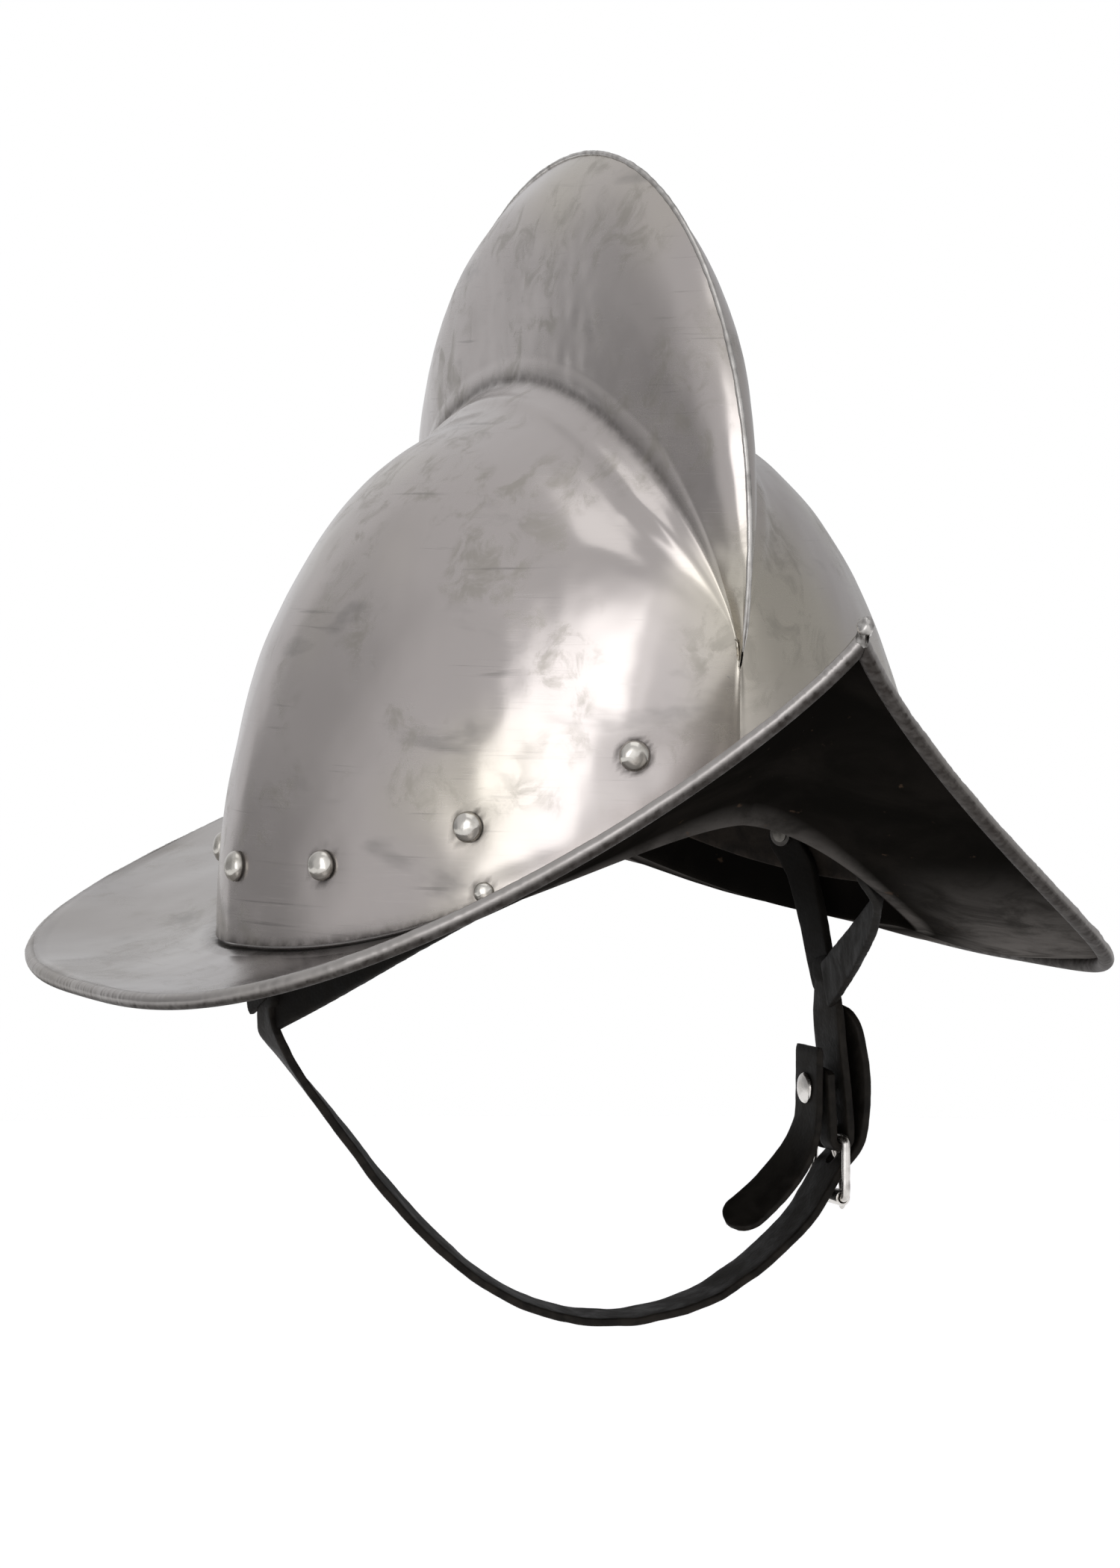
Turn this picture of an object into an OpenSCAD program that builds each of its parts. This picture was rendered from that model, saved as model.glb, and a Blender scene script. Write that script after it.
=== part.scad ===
// Comb morion: an open steel helmet with a tall comb, a boat-shaped brim
// and a leather chin strap.  Millimetres.  The front faces -Y, +Z is up and
// the wearer's right is -X.  The origin is the middle of the head opening,
// level with the lowest part of the seam between skull and brim.

/* [Skull] */
// Half width of the skull at the seam with the brim
skull_w = 101; // [96:1:106]
// Half length of the skull at the seam with the brim
skull_l = 110; // [105:1:115]
// Rise of the seam at the front and back above the sides
seam_rise = 38; // [30:1:40]
// Height of the dome beside the foot of the comb
dome_h = 148; // [138:1:156]
// Height at which the comb starts, front and back
comb_start = 76; // [74:1:82]
// Thickness of the steel sheet
sheet_t = 1.5; // [1.3:0.1:1.7]

/* [Comb] */
// Height of the top of the comb
comb_top = 213; // [200:1:225]
// Half width of the comb at its foot
comb_w = 18; // [14:1:20]
// How quickly the comb thickens below its ridge
comb_lens = 3.4; // [2:0.2:4]
// Reach of the fillet at the foot of the comb
comb_fillet = 9; // [7:1:12]

/* [Brim] */
// Half width of the brim
brim_w = 140.5; // [136:0.5:148]
// Half length of the brim, from the middle to a peak
brim_l = 187.5; // [180:0.5:194]
// Height of the brim's edge at the sides
side_z = -9.5; // [-13:0.5:-6]
// Height of the front peak
front_z = 88; // [76:1:96]
// Height of the rear peak
rear_z = 37; // [32:1:46]
// Radius of the wire in the rolled edge
wire_r = 1.1; // [0.9:0.1:1.3]

/* [Fittings] */
// Radius of a lining rivet's head
rivet_r = 4.1; // [3.5:0.1:5]
// Thickness of the leather
leather_t = 2.4; // [2:0.1:2.6]
// Width of the chin strap
strap_w = 17; // [15:1:18]
// Diameter of the roller on the buckle
roller_d = 4.6; // [4.2:0.1:5]

/* [Hidden] */

mid_y = -5;
brim_y = 1;
gap = 0.3;
sup = 2 / 1.6;
collar_h = 36;
bead_r = 1.3;
roll_r = wire_r + gap / 2 + 0.9;
// Positions round the skull, in degrees from the front, of one side's rivets
rivet_at = [20.5, 43, 65, 86.5, 115, 142, 165];
rivet_h = 25;
anchor_at = 40;
anchor_h = 3;
// The rivet that also holds the rear leg of a yoke
yoke_rivet = 4;
// The strap hangs in the plane Y = strap_y, from the ends of two yokes
strap_y = 8;
yoke_x = 85;
yoke_z = -20;
bar_x = 86;
bar_z = -63;
roller_z = -80;
bar_r = 1.25;

function pw(v, n) = sign(v) * pow(abs(v), n);
function unit(v) = v / max(norm(v), 0.000001);
function mix(a, b, k) = a + (b - a) * k;
function smooth(k) = let (c = min(max(k, 0), 1)) c * c * (3 - 2 * c);

// Seam between skull and brim; t runs from 0 at the front to 180 at the back
function seam(t, off = 0) = [
    -(skull_w - off) * pow(sin(t), sup) - 0.3 * pow(cos(t), 2),
    mid_y - (skull_l - off) * pw(cos(t), sup),
    seam_rise * pow(abs(cos(t)), 3.5)];

// Ridge of the comb, in the middle plane
low_a = asin(34 / 110);
ridge_top_y = -14;
function comb_sup(a) = cos(a) < 0 && sin(a) > 0 ? 1.92 : 2;
function ridge(t, off = 0) = let (a = t * (180 + 2 * low_a) / 180 - low_a) [
    -0.3,
    ridge_top_y - (cos(a) > 0 ? (107 - off) * cos(a) : (120 - off) * pw(cos(a), 2 / comb_sup(a))),
    comb_top - 103 + (sin(a) < 0 ? 110 : 103 - off) * pw(sin(a), 2 / comb_sup(a))];

// Crown of the dome under the comb, in the middle plane
function crown(t, off = 0) = [
    -0.3,
    mix(ridge(0, off)[1], ridge(180, off)[1], (1 - cos(t)) / 2),
    comb_start + (dome_h - comb_start - off) * sin(t)];

// Point of the dome at angle f from the seam (0) to the crown (90)
function dome_pt(t, f, off = 0) = let (
    c = seam(t, off),
    m = crown(t, off)) [
    m[0] + (c[0] - m[0]) * cos(f),
    c[1] + (m[1] - c[1]) * sin(f),
    c[2] + (m[2] - c[2]) * sin(f)];

function bez(p, q, r, s, k) =
    p * pow(1 - k, 3) + q * 3 * k * pow(1 - k, 2)
    + r * 3 * k * k * (1 - k) + s * pow(k, 3);

// One rib of a skull half: up the dome, round the fillet and up the comb
n_dome = 10;
n_fil = 5;
n_comb = 6;
function rib(t) = let (
    c = seam(t),
    m = crown(t),
    p = ridge(t),
    h = norm(p - m),
    grow = smooth(h / 66),
    cw = 0.3 + (comb_w - 0.3) * grow,
    fr = comb_fillet * smooth(h / 30) * min(1, abs(c[0]) / 60),
    span = max(abs(c[0]) - 0.3, 0.01),
    f1 = acos(min(0.999, max(0.06, min(cw + fr, span * 0.96) / span))),
    f1b = abs(c[0]) < 6 ? 84 : f1,
    d = dome_pt(t, f1b),
    dt = unit(dome_pt(t, f1b) - dome_pt(t, f1b - 2)),
    up = h < 0.5 ? [0, 0, 1] : unit(p - m),
    e0 = m + up * min(h, fr * 1.1) + [-(cw * (1 - 0.8 * min(h, fr) / max(h, 1))), 0, 0],
    e = [min(e0[0], -0.3), e0[1], e0[2]],
    et = unit(p - e),
    g = norm(e - d) * 0.42)
    concat(
        [for (j = [0 : n_dome - 1]) dome_pt(t, f1b * j / n_dome)],
        [for (j = [0 : n_fil - 1]) let (k = j / n_fil)
            bez(d, d + dt * g, e - et * g, e, k)],
        [for (j = [0 : n_comb]) let (
            k = j / n_comb,
            b = (1 - exp(-comb_lens * (1 - k))) / (1 - exp(-comb_lens)),
            q = mix(e, p, k)) [mix(p[0], e[0], b), q[1], q[2]]]);

n_t = 36;
function stn(i, n) = 180 * (0.5 - 0.5 * cos(180 * i / n)) * 0.45 + 180 * i / n * 0.55;
function skull_grid() = [for (i = [0 : n_t]) rib(stn(i, n_t))];

// Unit normals of a grid of points; end rows stay in the middle plane
function normals(g, flat = true) = let (n = len(g) - 1, m = len(g[0]) - 1) [
    for (i = [0 : n]) [for (j = [0 : m]) let (
        a = g[min(i + 1, n)][j] - g[max(i - 1, 0)][j],
        b = g[i][min(j + 1, m)] - g[i][max(j - 1, 0)],
        c = cross(a, b),
        v = flat && (i == 0 || i == n) ? [0, c[1], c[2]] : c) unit(v)]];

// Closed solid between two grids of points
module shell(o, q, flip = false) {
    n = len(o) - 1;
    m = len(o[0]) - 1;
    w = m + 1;
    k = (n + 1) * w;
    pts = concat([for (r = o) each r], [for (r = q) each r]);
    quads = concat(
        [for (i = [0 : n - 1], j = [0 : m - 1])
            [i * w + j, (i + 1) * w + j, (i + 1) * w + j + 1, i * w + j + 1]],
        [for (i = [0 : n - 1], j = [0 : m - 1])
            [k + i * w + j, k + i * w + j + 1, k + (i + 1) * w + j + 1, k + (i + 1) * w + j]],
        [for (i = [0 : n - 1]) [i * w, k + i * w, k + (i + 1) * w, (i + 1) * w]],
        [for (i = [0 : n - 1])
            [i * w + m, (i + 1) * w + m, k + (i + 1) * w + m, k + i * w + m]],
        [for (j = [0 : m - 1]) [j, j + 1, k + j + 1, k + j]],
        [for (j = [0 : m - 1])
            [n * w + j, k + n * w + j, k + n * w + j + 1, n * w + j + 1]]);
    tris = [for (f = quads) each [[f[0], f[1], f[2]], [f[0], f[2], f[3]]]];
    polyhedron(pts, flip ? [for (f = tris) [f[2], f[1], f[0]]] : tris);
}

// Tube swept along a list of points, with n sides, ends closed
function frames(p) = [for (i = [0 : len(p) - 1]) unit(p[min(i + 1, len(p) - 1)] - p[max(i - 1, 0)])];
module tube(p, r, n = 8, ref = [0, 0, 1]) {
    tg = frames(p);
    k = len(p);
    pts = [for (i = [0 : k - 1]) let (
        a = unit(cross(tg[i], ref)),
        b = cross(a, tg[i]))
        for (j = [0 : n - 1]) p[i] + r * (a * cos(360 * j / n) + b * sin(360 * j / n))];
    tris = concat(
        [for (i = [0 : k - 2], j = [0 : n - 1]) let (
            a = i * n + j,
            b = i * n + (j + 1) % n) each [[a, b, b + n], [a, b + n, a + n]]],
        [for (j = [1 : n - 2]) [0, j + 1, j]],
        [for (j = [1 : n - 2]) let (s = (k - 1) * n) [s, s + j, s + j + 1]]);
    polyhedron(pts, [for (f = tris) [f[2], f[1], f[0]]]);
}

// Edge of the brim; pointed front and back
function rim(t) = let (u = -pw(cos(t), 1.4), a = abs(u)) [
    -brim_w * pow(1 - pow(a, 3), 1.2) - 0.3,
    brim_y + brim_l * u,
    side_z + (u < 0 ? (front_z - side_z) * pow(a, 3.65)
        : (rear_z - side_z) * pow(a, 2.4))];

// Rolled edge: points round the wire, from the sheet outward and under
n_roll = 7;
function rim_dir(t) = let (d = rim(min(t + 1.5, 180)) - rim(max(t - 1.5, 0)))
    unit((t < 0.1 || t > 179.9) ? [1, d[1] * 0, 0] : d);
function out_dir(t) = let (
    a = rim(t) - seam(t),
    tg = rim_dir(t),
    b = a - tg * (a * tg)) unit((t < 0.1 || t > 179.9) ? [0, b[1], b[2]] : b);
function down_dir(t) = let (c = cross(rim_dir(t), out_dir(t))) unit(c[2] > 0 ? -c : c);
function roll_mid(t) = rim(t) + down_dir(t) * roll_r;

// Section of the brim: collar inside the skull, bend, brim and rolled edge
function brim_row(t) = let (
    s = sheet_t + gap,
    c = seam(t, s),
    m = crown(t, s),
    fc = asin(min(0.8, collar_h / norm(m - c))),
    r = rim(t),
    o = [r[0] - c[0], r[1] - c[1], 0],
    bend = [c[0], c[1], c[2] - 0.2],
    od = out_dir(t),
    dd = down_dir(t),
    mid = roll_mid(t))
    concat(
        [for (j = [0 : 2]) dome_pt(t, fc * (1 - j / 3) + 2, s)],
        [mix(bend, dome_pt(t, 2, s), 0.5), bend + [0, 0, -0.9],
            bend + unit(o) * 3.4 + [0, 0, -1.5]],
        [for (k = [0.25, 0.5, 0.75, 0.97]) mix(bend, r, k) + [0, 0, -0.9 - 2.4 * sin(180 * k) + 0.9 * k]],
        [for (j = [0 : n_roll]) let (a = 300 * j / n_roll)
            mid - dd * cos(a) * roll_r + od * sin(a) * roll_r]);
n_b = 36;
function brim_grid() = [for (i = [0 : n_b]) brim_row(stn(i, n_b))];

function offset_grid(g, nn, d, cap = -0.12) = [for (i = [0 : len(g) - 1])
    [for (j = [0 : len(g[0]) - 1]) let (p = g[i][j] - nn[i][j] * d) [min(p[0], cap), p[1], p[2]]]];

module skull_half() {
    g = skull_grid();
    nn = normals(g);
    s = nn[10][4][0] < 0 ? 1 : -1;
    shell(g, offset_grid(g, nn, s * sheet_t), flip = s > 0);
}

module brim_half() {
    g = brim_grid();
    nn = normals(g);
    s = nn[10][7][2] > 0 ? 1 : -1;
    shell(g, offset_grid(g, nn, s * 0.9), flip = s > 0);
}

// Cuts for the rivets of one side
module side_bores(r = 1.9) {
    for (t = rivet_at) at_rivet(t) translate([0, 0, -12]) cylinder(h = 20, r = r, $fn = 16);
    at_anchor() translate([0, 0, -12]) cylinder(h = 20, r = r, $fn = 16);
}

// Frame on the skull's outside at a lining rivet, +Z pointing outward
function rise_f(t, h) = asin(h / norm(crown(t) - seam(t)));
function skin(t, h, off) = dome_pt(t, rise_f(t, h), off);
function skin_n(t, h) = let (
    f = rise_f(t, h),
    a = dome_pt(t + 1, f) - dome_pt(t - 1, f),
    b = dome_pt(t, f + 1) - dome_pt(t, f - 1),
    c = unit(cross(a, b))) c[0] < 0 ? c : -c;
module on_skull(t, h) {
    z = skin_n(t, h);
    translate(skin(t, h, 0)) rotate([0, acos(z[2]), atan2(z[1], z[0])]) children();
}
module at_rivet(t) { on_skull(t, rivet_h) children(); }
module at_anchor() { on_skull(anchor_at, anchor_h) children(); }

module both_sides() {
    children();
    mirror([1, 0, 0]) children();
}

module skull_right_half() {
    color("lightsteelblue") difference() {
        skull_half();
        side_bores();
    }
}
module skull_left_half() { mirror([1, 0, 0]) skull_right_half(); }

module comb_seam() {
    color("silver") tube([for (i = [0 : 44]) let (
        t = 2 + 176 * i / 44,
        p = ridge(t),
        q = ridge(t + 1) - ridge(t - 1),
        up = unit([0, -q[2], q[1]])) [0, p[1], p[2]] + up * (bead_r + 0.05)], bead_r, 8, [1, 0, 0]);
}

module brim_right_half() {
    color("lightsteelblue") difference() {
        brim_half();
        side_bores();
    }
}
module brim_left_half() { mirror([1, 0, 0]) brim_right_half(); }

module rim_wire_right() {
    color("gray") tube([for (i = [3 : n_b - 3]) roll_mid(stn(i, n_b))], wire_r, 8);
}
module rim_wire_left() { mirror([1, 0, 0]) rim_wire_right(); }

module peak_weld(t, s) {
    p = rim(t);
    color("silver") translate([0, p[1] + s * 2.6, p[2] + 1.2]) sphere(r = 2.2, $fn = 24);
}
module front_peak_weld() { peak_weld(0, -1); }
module rear_peak_weld() { peak_weld(180, 1); }

// Domed rivet head with its shank
module rivet(r, shank) {
    rotate_extrude($fn = 40) union() {
        intersection() {
            translate([0, -r * 0.32]) circle(r = r * 1.05, $fn = 60);
            translate([0, 0.1]) square([r, r]);
        }
        translate([0, -shank]) square([1.6, shank + 0.2]);
    }
}
module lining_rivets() {
    color("gainsboro") both_sides() for (i = [0 : 6]) at_rivet(rivet_at[i])
        rivet(rivet_r, i == yoke_rivet ? 9.7 : 7.6);
}
module rivet_washers() {
    color("dimgray") both_sides() for (i = [0 : 6]) at_rivet(rivet_at[i])
        translate([0, 0, i == yoke_rivet ? -9.6 : -7.4]) difference() {
            cylinder(h = 0.9, r = 3.5, $fn = 32);
            translate([0, 0, -1]) cylinder(h = 3, r = 1.75, $fn = 32);
        }
}

// Leather band inside the collar, one closed ring
band_off = sheet_t + 0.9 + 2 * gap + 0.3;
function around(t, f, off) = let (
    a = t > 180 ? 360 - t : t,
    p = dome_pt(a, f, off)) [t > 180 ? -p[0] : p[0], p[1], p[2]];
module ring(o, q) {
    n = len(o);
    m = len(o[0]) - 1;
    w = m + 1;
    k = n * w;
    pts = concat([for (r = o) each r], [for (r = q) each r]);
    quads = [for (i = [0 : n - 1]) let (
        a = i * w,
        b = ((i + 1) % n) * w) each concat(
        [for (j = [0 : m - 1]) [a + j, b + j, b + j + 1, a + j + 1]],
        [for (j = [0 : m - 1]) [k + a + j, k + a + j + 1, k + b + j + 1, k + b + j]],
        [[a, k + a, k + b, b]],
        [[a + m, b + m, k + b + m, k + a + m]])];
    polyhedron(pts, [for (f = quads) each [[f[2], f[1], f[0]], [f[3], f[2], f[0]]]]);
}
function band_f(t, h) = let (a = t > 180 ? 360 - t : t)
    asin(h / norm(crown(a) - seam(a)));
module lining_band() {
    n = 48;
    color("saddlebrown") difference() {
        ring([for (i = [0 : n - 1]) let (t = 360 * i / n)
                [for (h = [12, 35]) around(t, band_f(t, h), band_off)]],
            [for (i = [0 : n - 1]) let (t = 360 * i / n)
                [for (h = [12, 35]) around(t, band_f(t, h), band_off + leather_t)]]);
        both_sides() side_bores(1.8);
    }
}

// Leather lobes that rise from the band to the lace under the crown
lobe_off = band_off + leather_t + gap;
lobe_t = 1.8;
lace_r = 36;
lace_z = dome_h - 30;
module lobe(k) {
    function pt(u, v, o) = let (
        t = 45 * k + mix(2, 43, u),
        a = around(t, band_f(t, 31), lobe_off + o),
        r = lace_r + 1.5,
        w = 0.5 + (u - 0.5) * 0.7,
        tm = 45 * k + mix(2, 43, w),
        am = around(tm, band_f(tm, 31), lobe_off + o),
        gm = atan2(am[1] - mid_y, am[0]),
        em = [cos(gm), sin(gm), 0],
        c = [0, mid_y, lace_z - o] + em * r,
        m = [am[0] * 0.84, mid_y + (am[1] - mid_y) * 0.8, lace_z - 12 - o])
        a * pow(1 - v, 2) + m * 2 * v * (1 - v) + c * v * v;
    color("tan") shell(
        [for (u = [0 : 0.2 : 1.001]) [for (v = [0 : 0.2 : 1.001]) pt(u, v, 0)]],
        [for (u = [0 : 0.2 : 1.001]) [for (v = [0 : 0.2 : 1.001]) pt(u, v, lobe_t)]],
        flip = k >= 4);
}
module liner_lobe_1() { lobe(0); }
module liner_lobe_2() { lobe(1); }
module liner_lobe_3() { lobe(2); }
module liner_lobe_4() { lobe(3); }
module liner_lobe_5() { lobe(4); }
module liner_lobe_6() { lobe(5); }
module liner_lobe_7() { lobe(6); }
module liner_lobe_8() { lobe(7); }

// Drawstring through the tips of the lobes
module liner_lace() {
    color("wheat") translate([0, mid_y, lace_z - 1])
        rotate_extrude($fn = 64) translate([lace_r, 0]) circle(r = 1.2, $fn = 20);
}

// Small rivets and washers that hold the front legs of the yokes
module front_anchor_rivets() {
    color("gainsboro") both_sides() at_anchor() rivet(2.8, 6.8);
}
module anchor_washers() {
    color("dimgray") both_sides() at_anchor() translate([0, 0, -6.7]) difference() {
        cylinder(h = 0.9, r = 2.9, $fn = 32);
        translate([0, 0, -1]) cylinder(h = 3, r = 1.75, $fn = 32);
    }
}

// Flat strap along a path, width w across, thickness th, twisted by tw degrees
module ribbon(p, w, th, tw, across = [0, 1, 0], nr = []) {
    tg = frames(p);
    k = len(p) - 1;
    function wd(i) = len(nr) > 0 ? unit(cross(nr[i], tg[i])) : let (
        a = unit(across - tg[i] * (across * tg[i])),
        b = cross(tg[i], a)) a * cos(tw[i]) + b * sin(tw[i]);
    function nd(i) = unit(cross(tg[i], wd(i)));
    shell([for (i = [0 : k]) [for (s = [-1, 1]) p[i] + wd(i) * w[i] / 2 * s + nd(i) * th / 2]],
        [for (i = [0 : k]) [for (s = [-1, 1]) p[i] + wd(i) * w[i] / 2 * s - nd(i) * th / 2]],
        flip = true);
}

function bow(a, b, c, n) = [for (i = [0 : n])
    let (k = i / n) a * pow(1 - k, 2) + b * 2 * k * (1 - k) + c * k * k];
function flat_list(n, v) = [for (i = [0 : n]) v];

// Yoke: two legs from the anchors that meet where the chin strap hangs
yoke_foot = [-yoke_x, strap_y, yoke_z + 4];
module yoke_leg(q, n0, c, w) {
    k = len(q) - 1;
    d = unit(q[k] - q[k - 1]);
    p = concat([for (i = [0 : k - 1]) q[i]], bow(q[k], q[k] + d * norm(c - q[k]) * 0.12, c, 8));
    nr = [for (i = [0 : k + 8]) unit(mix(n0, [-1, 0, 0], smooth((i - k) / 8)))];
    ribbon(p, flat_list(k + 8, w), leather_t, flat_list(k + 8, 0), nr = nr);
}
module yoke_right() {
    fa = [for (a = [[-3.6, 1.5], [1.8, -0.8]]) skin(anchor_at + a[0], anchor_h + a[1], 4.6)];
    rt = rivet_at[yoke_rivet];
    ra = [for (a = [[0.5, 1.2], [-2.9, -9.5]]) skin(rt + a[0], rivet_h + a[1], 7.7)];
    color("black") difference() {
        union() {
            yoke_leg(fa, skin_n(anchor_at, anchor_h), yoke_foot + [0, -3, 0], 8);
            yoke_leg(ra, skin_n(rt, rivet_h), yoke_foot + [0, 3, 0], 10);
            translate(yoke_foot + [0, 0, 0.3]) cube([3, 15.5, 8.2], center = true);
        }
        side_bores(1.8);
    }
}
module yoke_left() { mirror([1, 0, 0]) yoke_right(); }

// Long strap: from the right yoke, under the chin and through the buckle
pivot_z = yoke_z - 8.6;
strap_nodes = [[-85, -20.5], [-84.9, -21.6], [-84.6, -23.6], [-83.8, -26.4],
    [-82, -30], [-78, -36], [-66, -51], [-51, -70], [-35, -87], [-16, -101.5],
    [6, -110], [28, -111], [49, -105.5], [66, -95], [77, -85], [82, -78],
    [86, -72], [90.7, -66.6], [92.4, -60], [92.4, -46], [91.2, -30]];
strap_twist = [0, 0, 0, 0, 4, 10, 16, 18, 16, 10, 4, 0, 0, 0, 0, 0, 0, 0, 0, 0, 0];
module long_strap() {
    n = len(strap_nodes) - 1;
    function cr(a, b, c, d, k) = 0.5 * ((b * 2) + (c - a) * k
        + (a * 2 - b * 5 + c * 4 - d) * k * k + (b * 3 - a - c * 3 + d) * pow(k, 3));
    p = [for (i = [0 : n - 1], k = [0, 0.5]) cr(strap_nodes[max(i - 1, 0)],
        strap_nodes[i], strap_nodes[i + 1], strap_nodes[min(i + 2, n)], k)];
    q = concat(p, [strap_nodes[n]]);
    tw = [for (i = [0 : 2 * n]) mix(strap_twist[floor(i / 2)], strap_twist[min(n, ceil(i / 2))], 0.5)];
    cap = [0.2, 0.42, 0.55, 0.68, 0.76, 0.87, 0.94, 0.98];
    w = [for (i = [0 : 2 * n]) strap_w * (i == 2 * n ? 0.5 : i == 2 * n - 1 ? 0.85 : i < 8 ? cap[i] : 1)];
    color("black") difference() {
        ribbon([for (v = q) [v[0], strap_y, v[1]]], w, leather_t, tw);
        translate([88.3, strap_y, -69.3]) rotate([0, 130, 0]) hull() for (s = [-1, 1])
            translate([s * 1.6, 0, 0]) cylinder(h = 9, r = 1.7, center = true, $fn = 24);
    }
}

// Buckle strap: down from the left yoke, round the buckle's bar and back up
fold_r = bar_r + 0.3;
module buckle_strap() {
    t = leather_t;
    color("black") translate([0, strap_y, 0]) rotate([90, 0, 0]) difference() {
        translate([0, 0, -strap_w / 2]) linear_extrude(strap_w) union() {
            difference() {
                translate([bar_x, bar_z]) circle(r = fold_r + t, $fn = 48);
                translate([bar_x, bar_z]) circle(r = fold_r, $fn = 48);
                translate([bar_x - 10, bar_z]) square([20, 10]);
            }
            polygon([[bar_x + fold_r, bar_z], [bar_x + fold_r + t, bar_z],
                [yoke_x + t / 2, yoke_z - 1], [yoke_x - t / 2, yoke_z - 1]]);
            polygon([[bar_x - fold_r - t, bar_z], [bar_x - fold_r, bar_z],
                [yoke_x - t / 2 - 0.2, bar_z + 20], [yoke_x - t * 1.5 - 0.2, bar_z + 20]]);
        }
        difference() {
            translate([yoke_x - 10, pivot_z, -20]) cube([20, 20, 40]);
            translate([yoke_x - 12, pivot_z, 0]) rotate([0, 90, 0]) cylinder(h = 24, r = strap_w / 2, $fn = 64);
        }
        translate([bar_x, bar_z, 0]) cube([12, 9, 2.9], center = true);
        translate([bar_x + 1, bar_z - 4, 0]) cube([8, 6, 2.9], center = true);
        translate([70, flap_pin_z, 0]) rotate([0, 90, 0]) cylinder(h = 40, r = 1.3, $fn = 24);
    }
}

// Guard flap on the inner side of the buckle, with its rivet
flap_pin_z = -49;
flap_x = 79.4;
module flap_bore(r) {
    translate([60, strap_y, flap_pin_z]) rotate([0, 90, 0]) cylinder(h = 40, r = r, $fn = 24);
}
module buckle_flap() {
    p = concat([[flap_x, strap_y, -37], [flap_x, strap_y, -45]],
        bow([flap_x, strap_y, -54], [flap_x - 0.4, strap_y, -72], [54, strap_y, -87], 8));
    w = [for (i = [0 : 10]) i < 8 ? 15 : i == 8 ? 14 : i == 9 ? 11 : 5];
    color("black") difference() {
        ribbon(p, w, leather_t * 0.85, flat_list(10, 0));
        flap_bore(1.4);
    }
}
module flap_rivet() {
    color("gainsboro") translate([0, strap_y, flap_pin_z]) rotate([0, 90, 0]) {
        translate([0, 0, flap_x - 2.3]) cylinder(h = 1, r = 4.4, $fn = 40);
        translate([0, 0, flap_x - 1.8]) cylinder(h = 11.6, r = 1.2, $fn = 24);
        translate([0, 0, flap_x + 9.6]) cylinder(h = 0.8, r = 2.4, $fn = 32);
    }
}

// Buckle frame: a rectangular wire loop whose top bar the strap folds round
half_w = strap_w / 2 + 2;
module rod(a, b, r) {
    d = b - a;
    translate(a) rotate([0, acos(d[2] / norm(d)), atan2(d[1], d[0])]) cylinder(h = norm(d), r = r, $fn = 24);
}
module buckle_frame() {
    color("silver") translate([0, strap_y, 0]) union() {
        for (s = [-1, 1]) {
            rod([bar_x, s * half_w, bar_z], [bar_x, s * half_w, roller_z], bar_r);
            translate([bar_x, s * half_w, bar_z]) sphere(r = bar_r, $fn = 24);
            translate([bar_x, s * half_w, roller_z]) sphere(r = bar_r, $fn = 24);
        }
        rod([bar_x, -half_w, bar_z], [bar_x, half_w, bar_z], bar_r);
        rod([bar_x, -half_w, roller_z], [bar_x, half_w, roller_z], bar_r);
    }
}
module buckle_roller() {
    color("silver") translate([bar_x, strap_y, roller_z]) rotate([90, 0, 0]) difference() {
        cylinder(h = strap_w + 0.8, r = roller_d / 2, center = true, $fn = 40);
        cylinder(h = strap_w + 2, r = bar_r + 0.15, center = true, $fn = 40);
    }
}

// Prong: an eye round the top bar and a bent wire that rests on the roller
module buckle_prong() {
    r = 1.1;
    p = [[bar_x + 1.9, -68], [bar_x + 3.6, -73], [bar_x + 4.1, -79], [bar_x + 3.9, -84]];
    color("silver") translate([0, strap_y, 0]) union() {
        translate([bar_x, 0, bar_z]) rotate([90, 0, 0]) difference() {
            cylinder(h = 2.3, r = bar_r + 1.7, center = true, $fn = 40);
            cylinder(h = 4, r = bar_r + 0.12, center = true, $fn = 40);
        }
        rod([bar_x + 1, 0, bar_z - 2.0], [p[0][0], 0, p[0][1]], r);
        for (i = [0 : 2]) {
            rod([p[i][0], 0, p[i][1]], [p[i + 1][0], 0, p[i + 1][1]], r);
            translate([p[i][0], 0, p[i][1]]) sphere(r = r * 1.06, $fn = 24);
        }
        translate([p[3][0], 0, p[3][1]]) sphere(r = r * 1.06, $fn = 24);
    }
}

skull_right_half();
skull_left_half();
comb_seam();
brim_right_half();
brim_left_half();
rim_wire_right();
rim_wire_left();
front_peak_weld();
rear_peak_weld();
lining_rivets();
rivet_washers();
lining_band();
liner_lobe_1();
liner_lobe_2();
liner_lobe_3();
liner_lobe_4();
liner_lobe_5();
liner_lobe_6();
liner_lobe_7();
liner_lobe_8();
liner_lace();
front_anchor_rivets();
anchor_washers();
yoke_right();
yoke_left();
long_strap();
buckle_strap();
buckle_flap();
flap_rivet();
buckle_frame();
buckle_roller();
buckle_prong();
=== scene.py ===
import math

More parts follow.
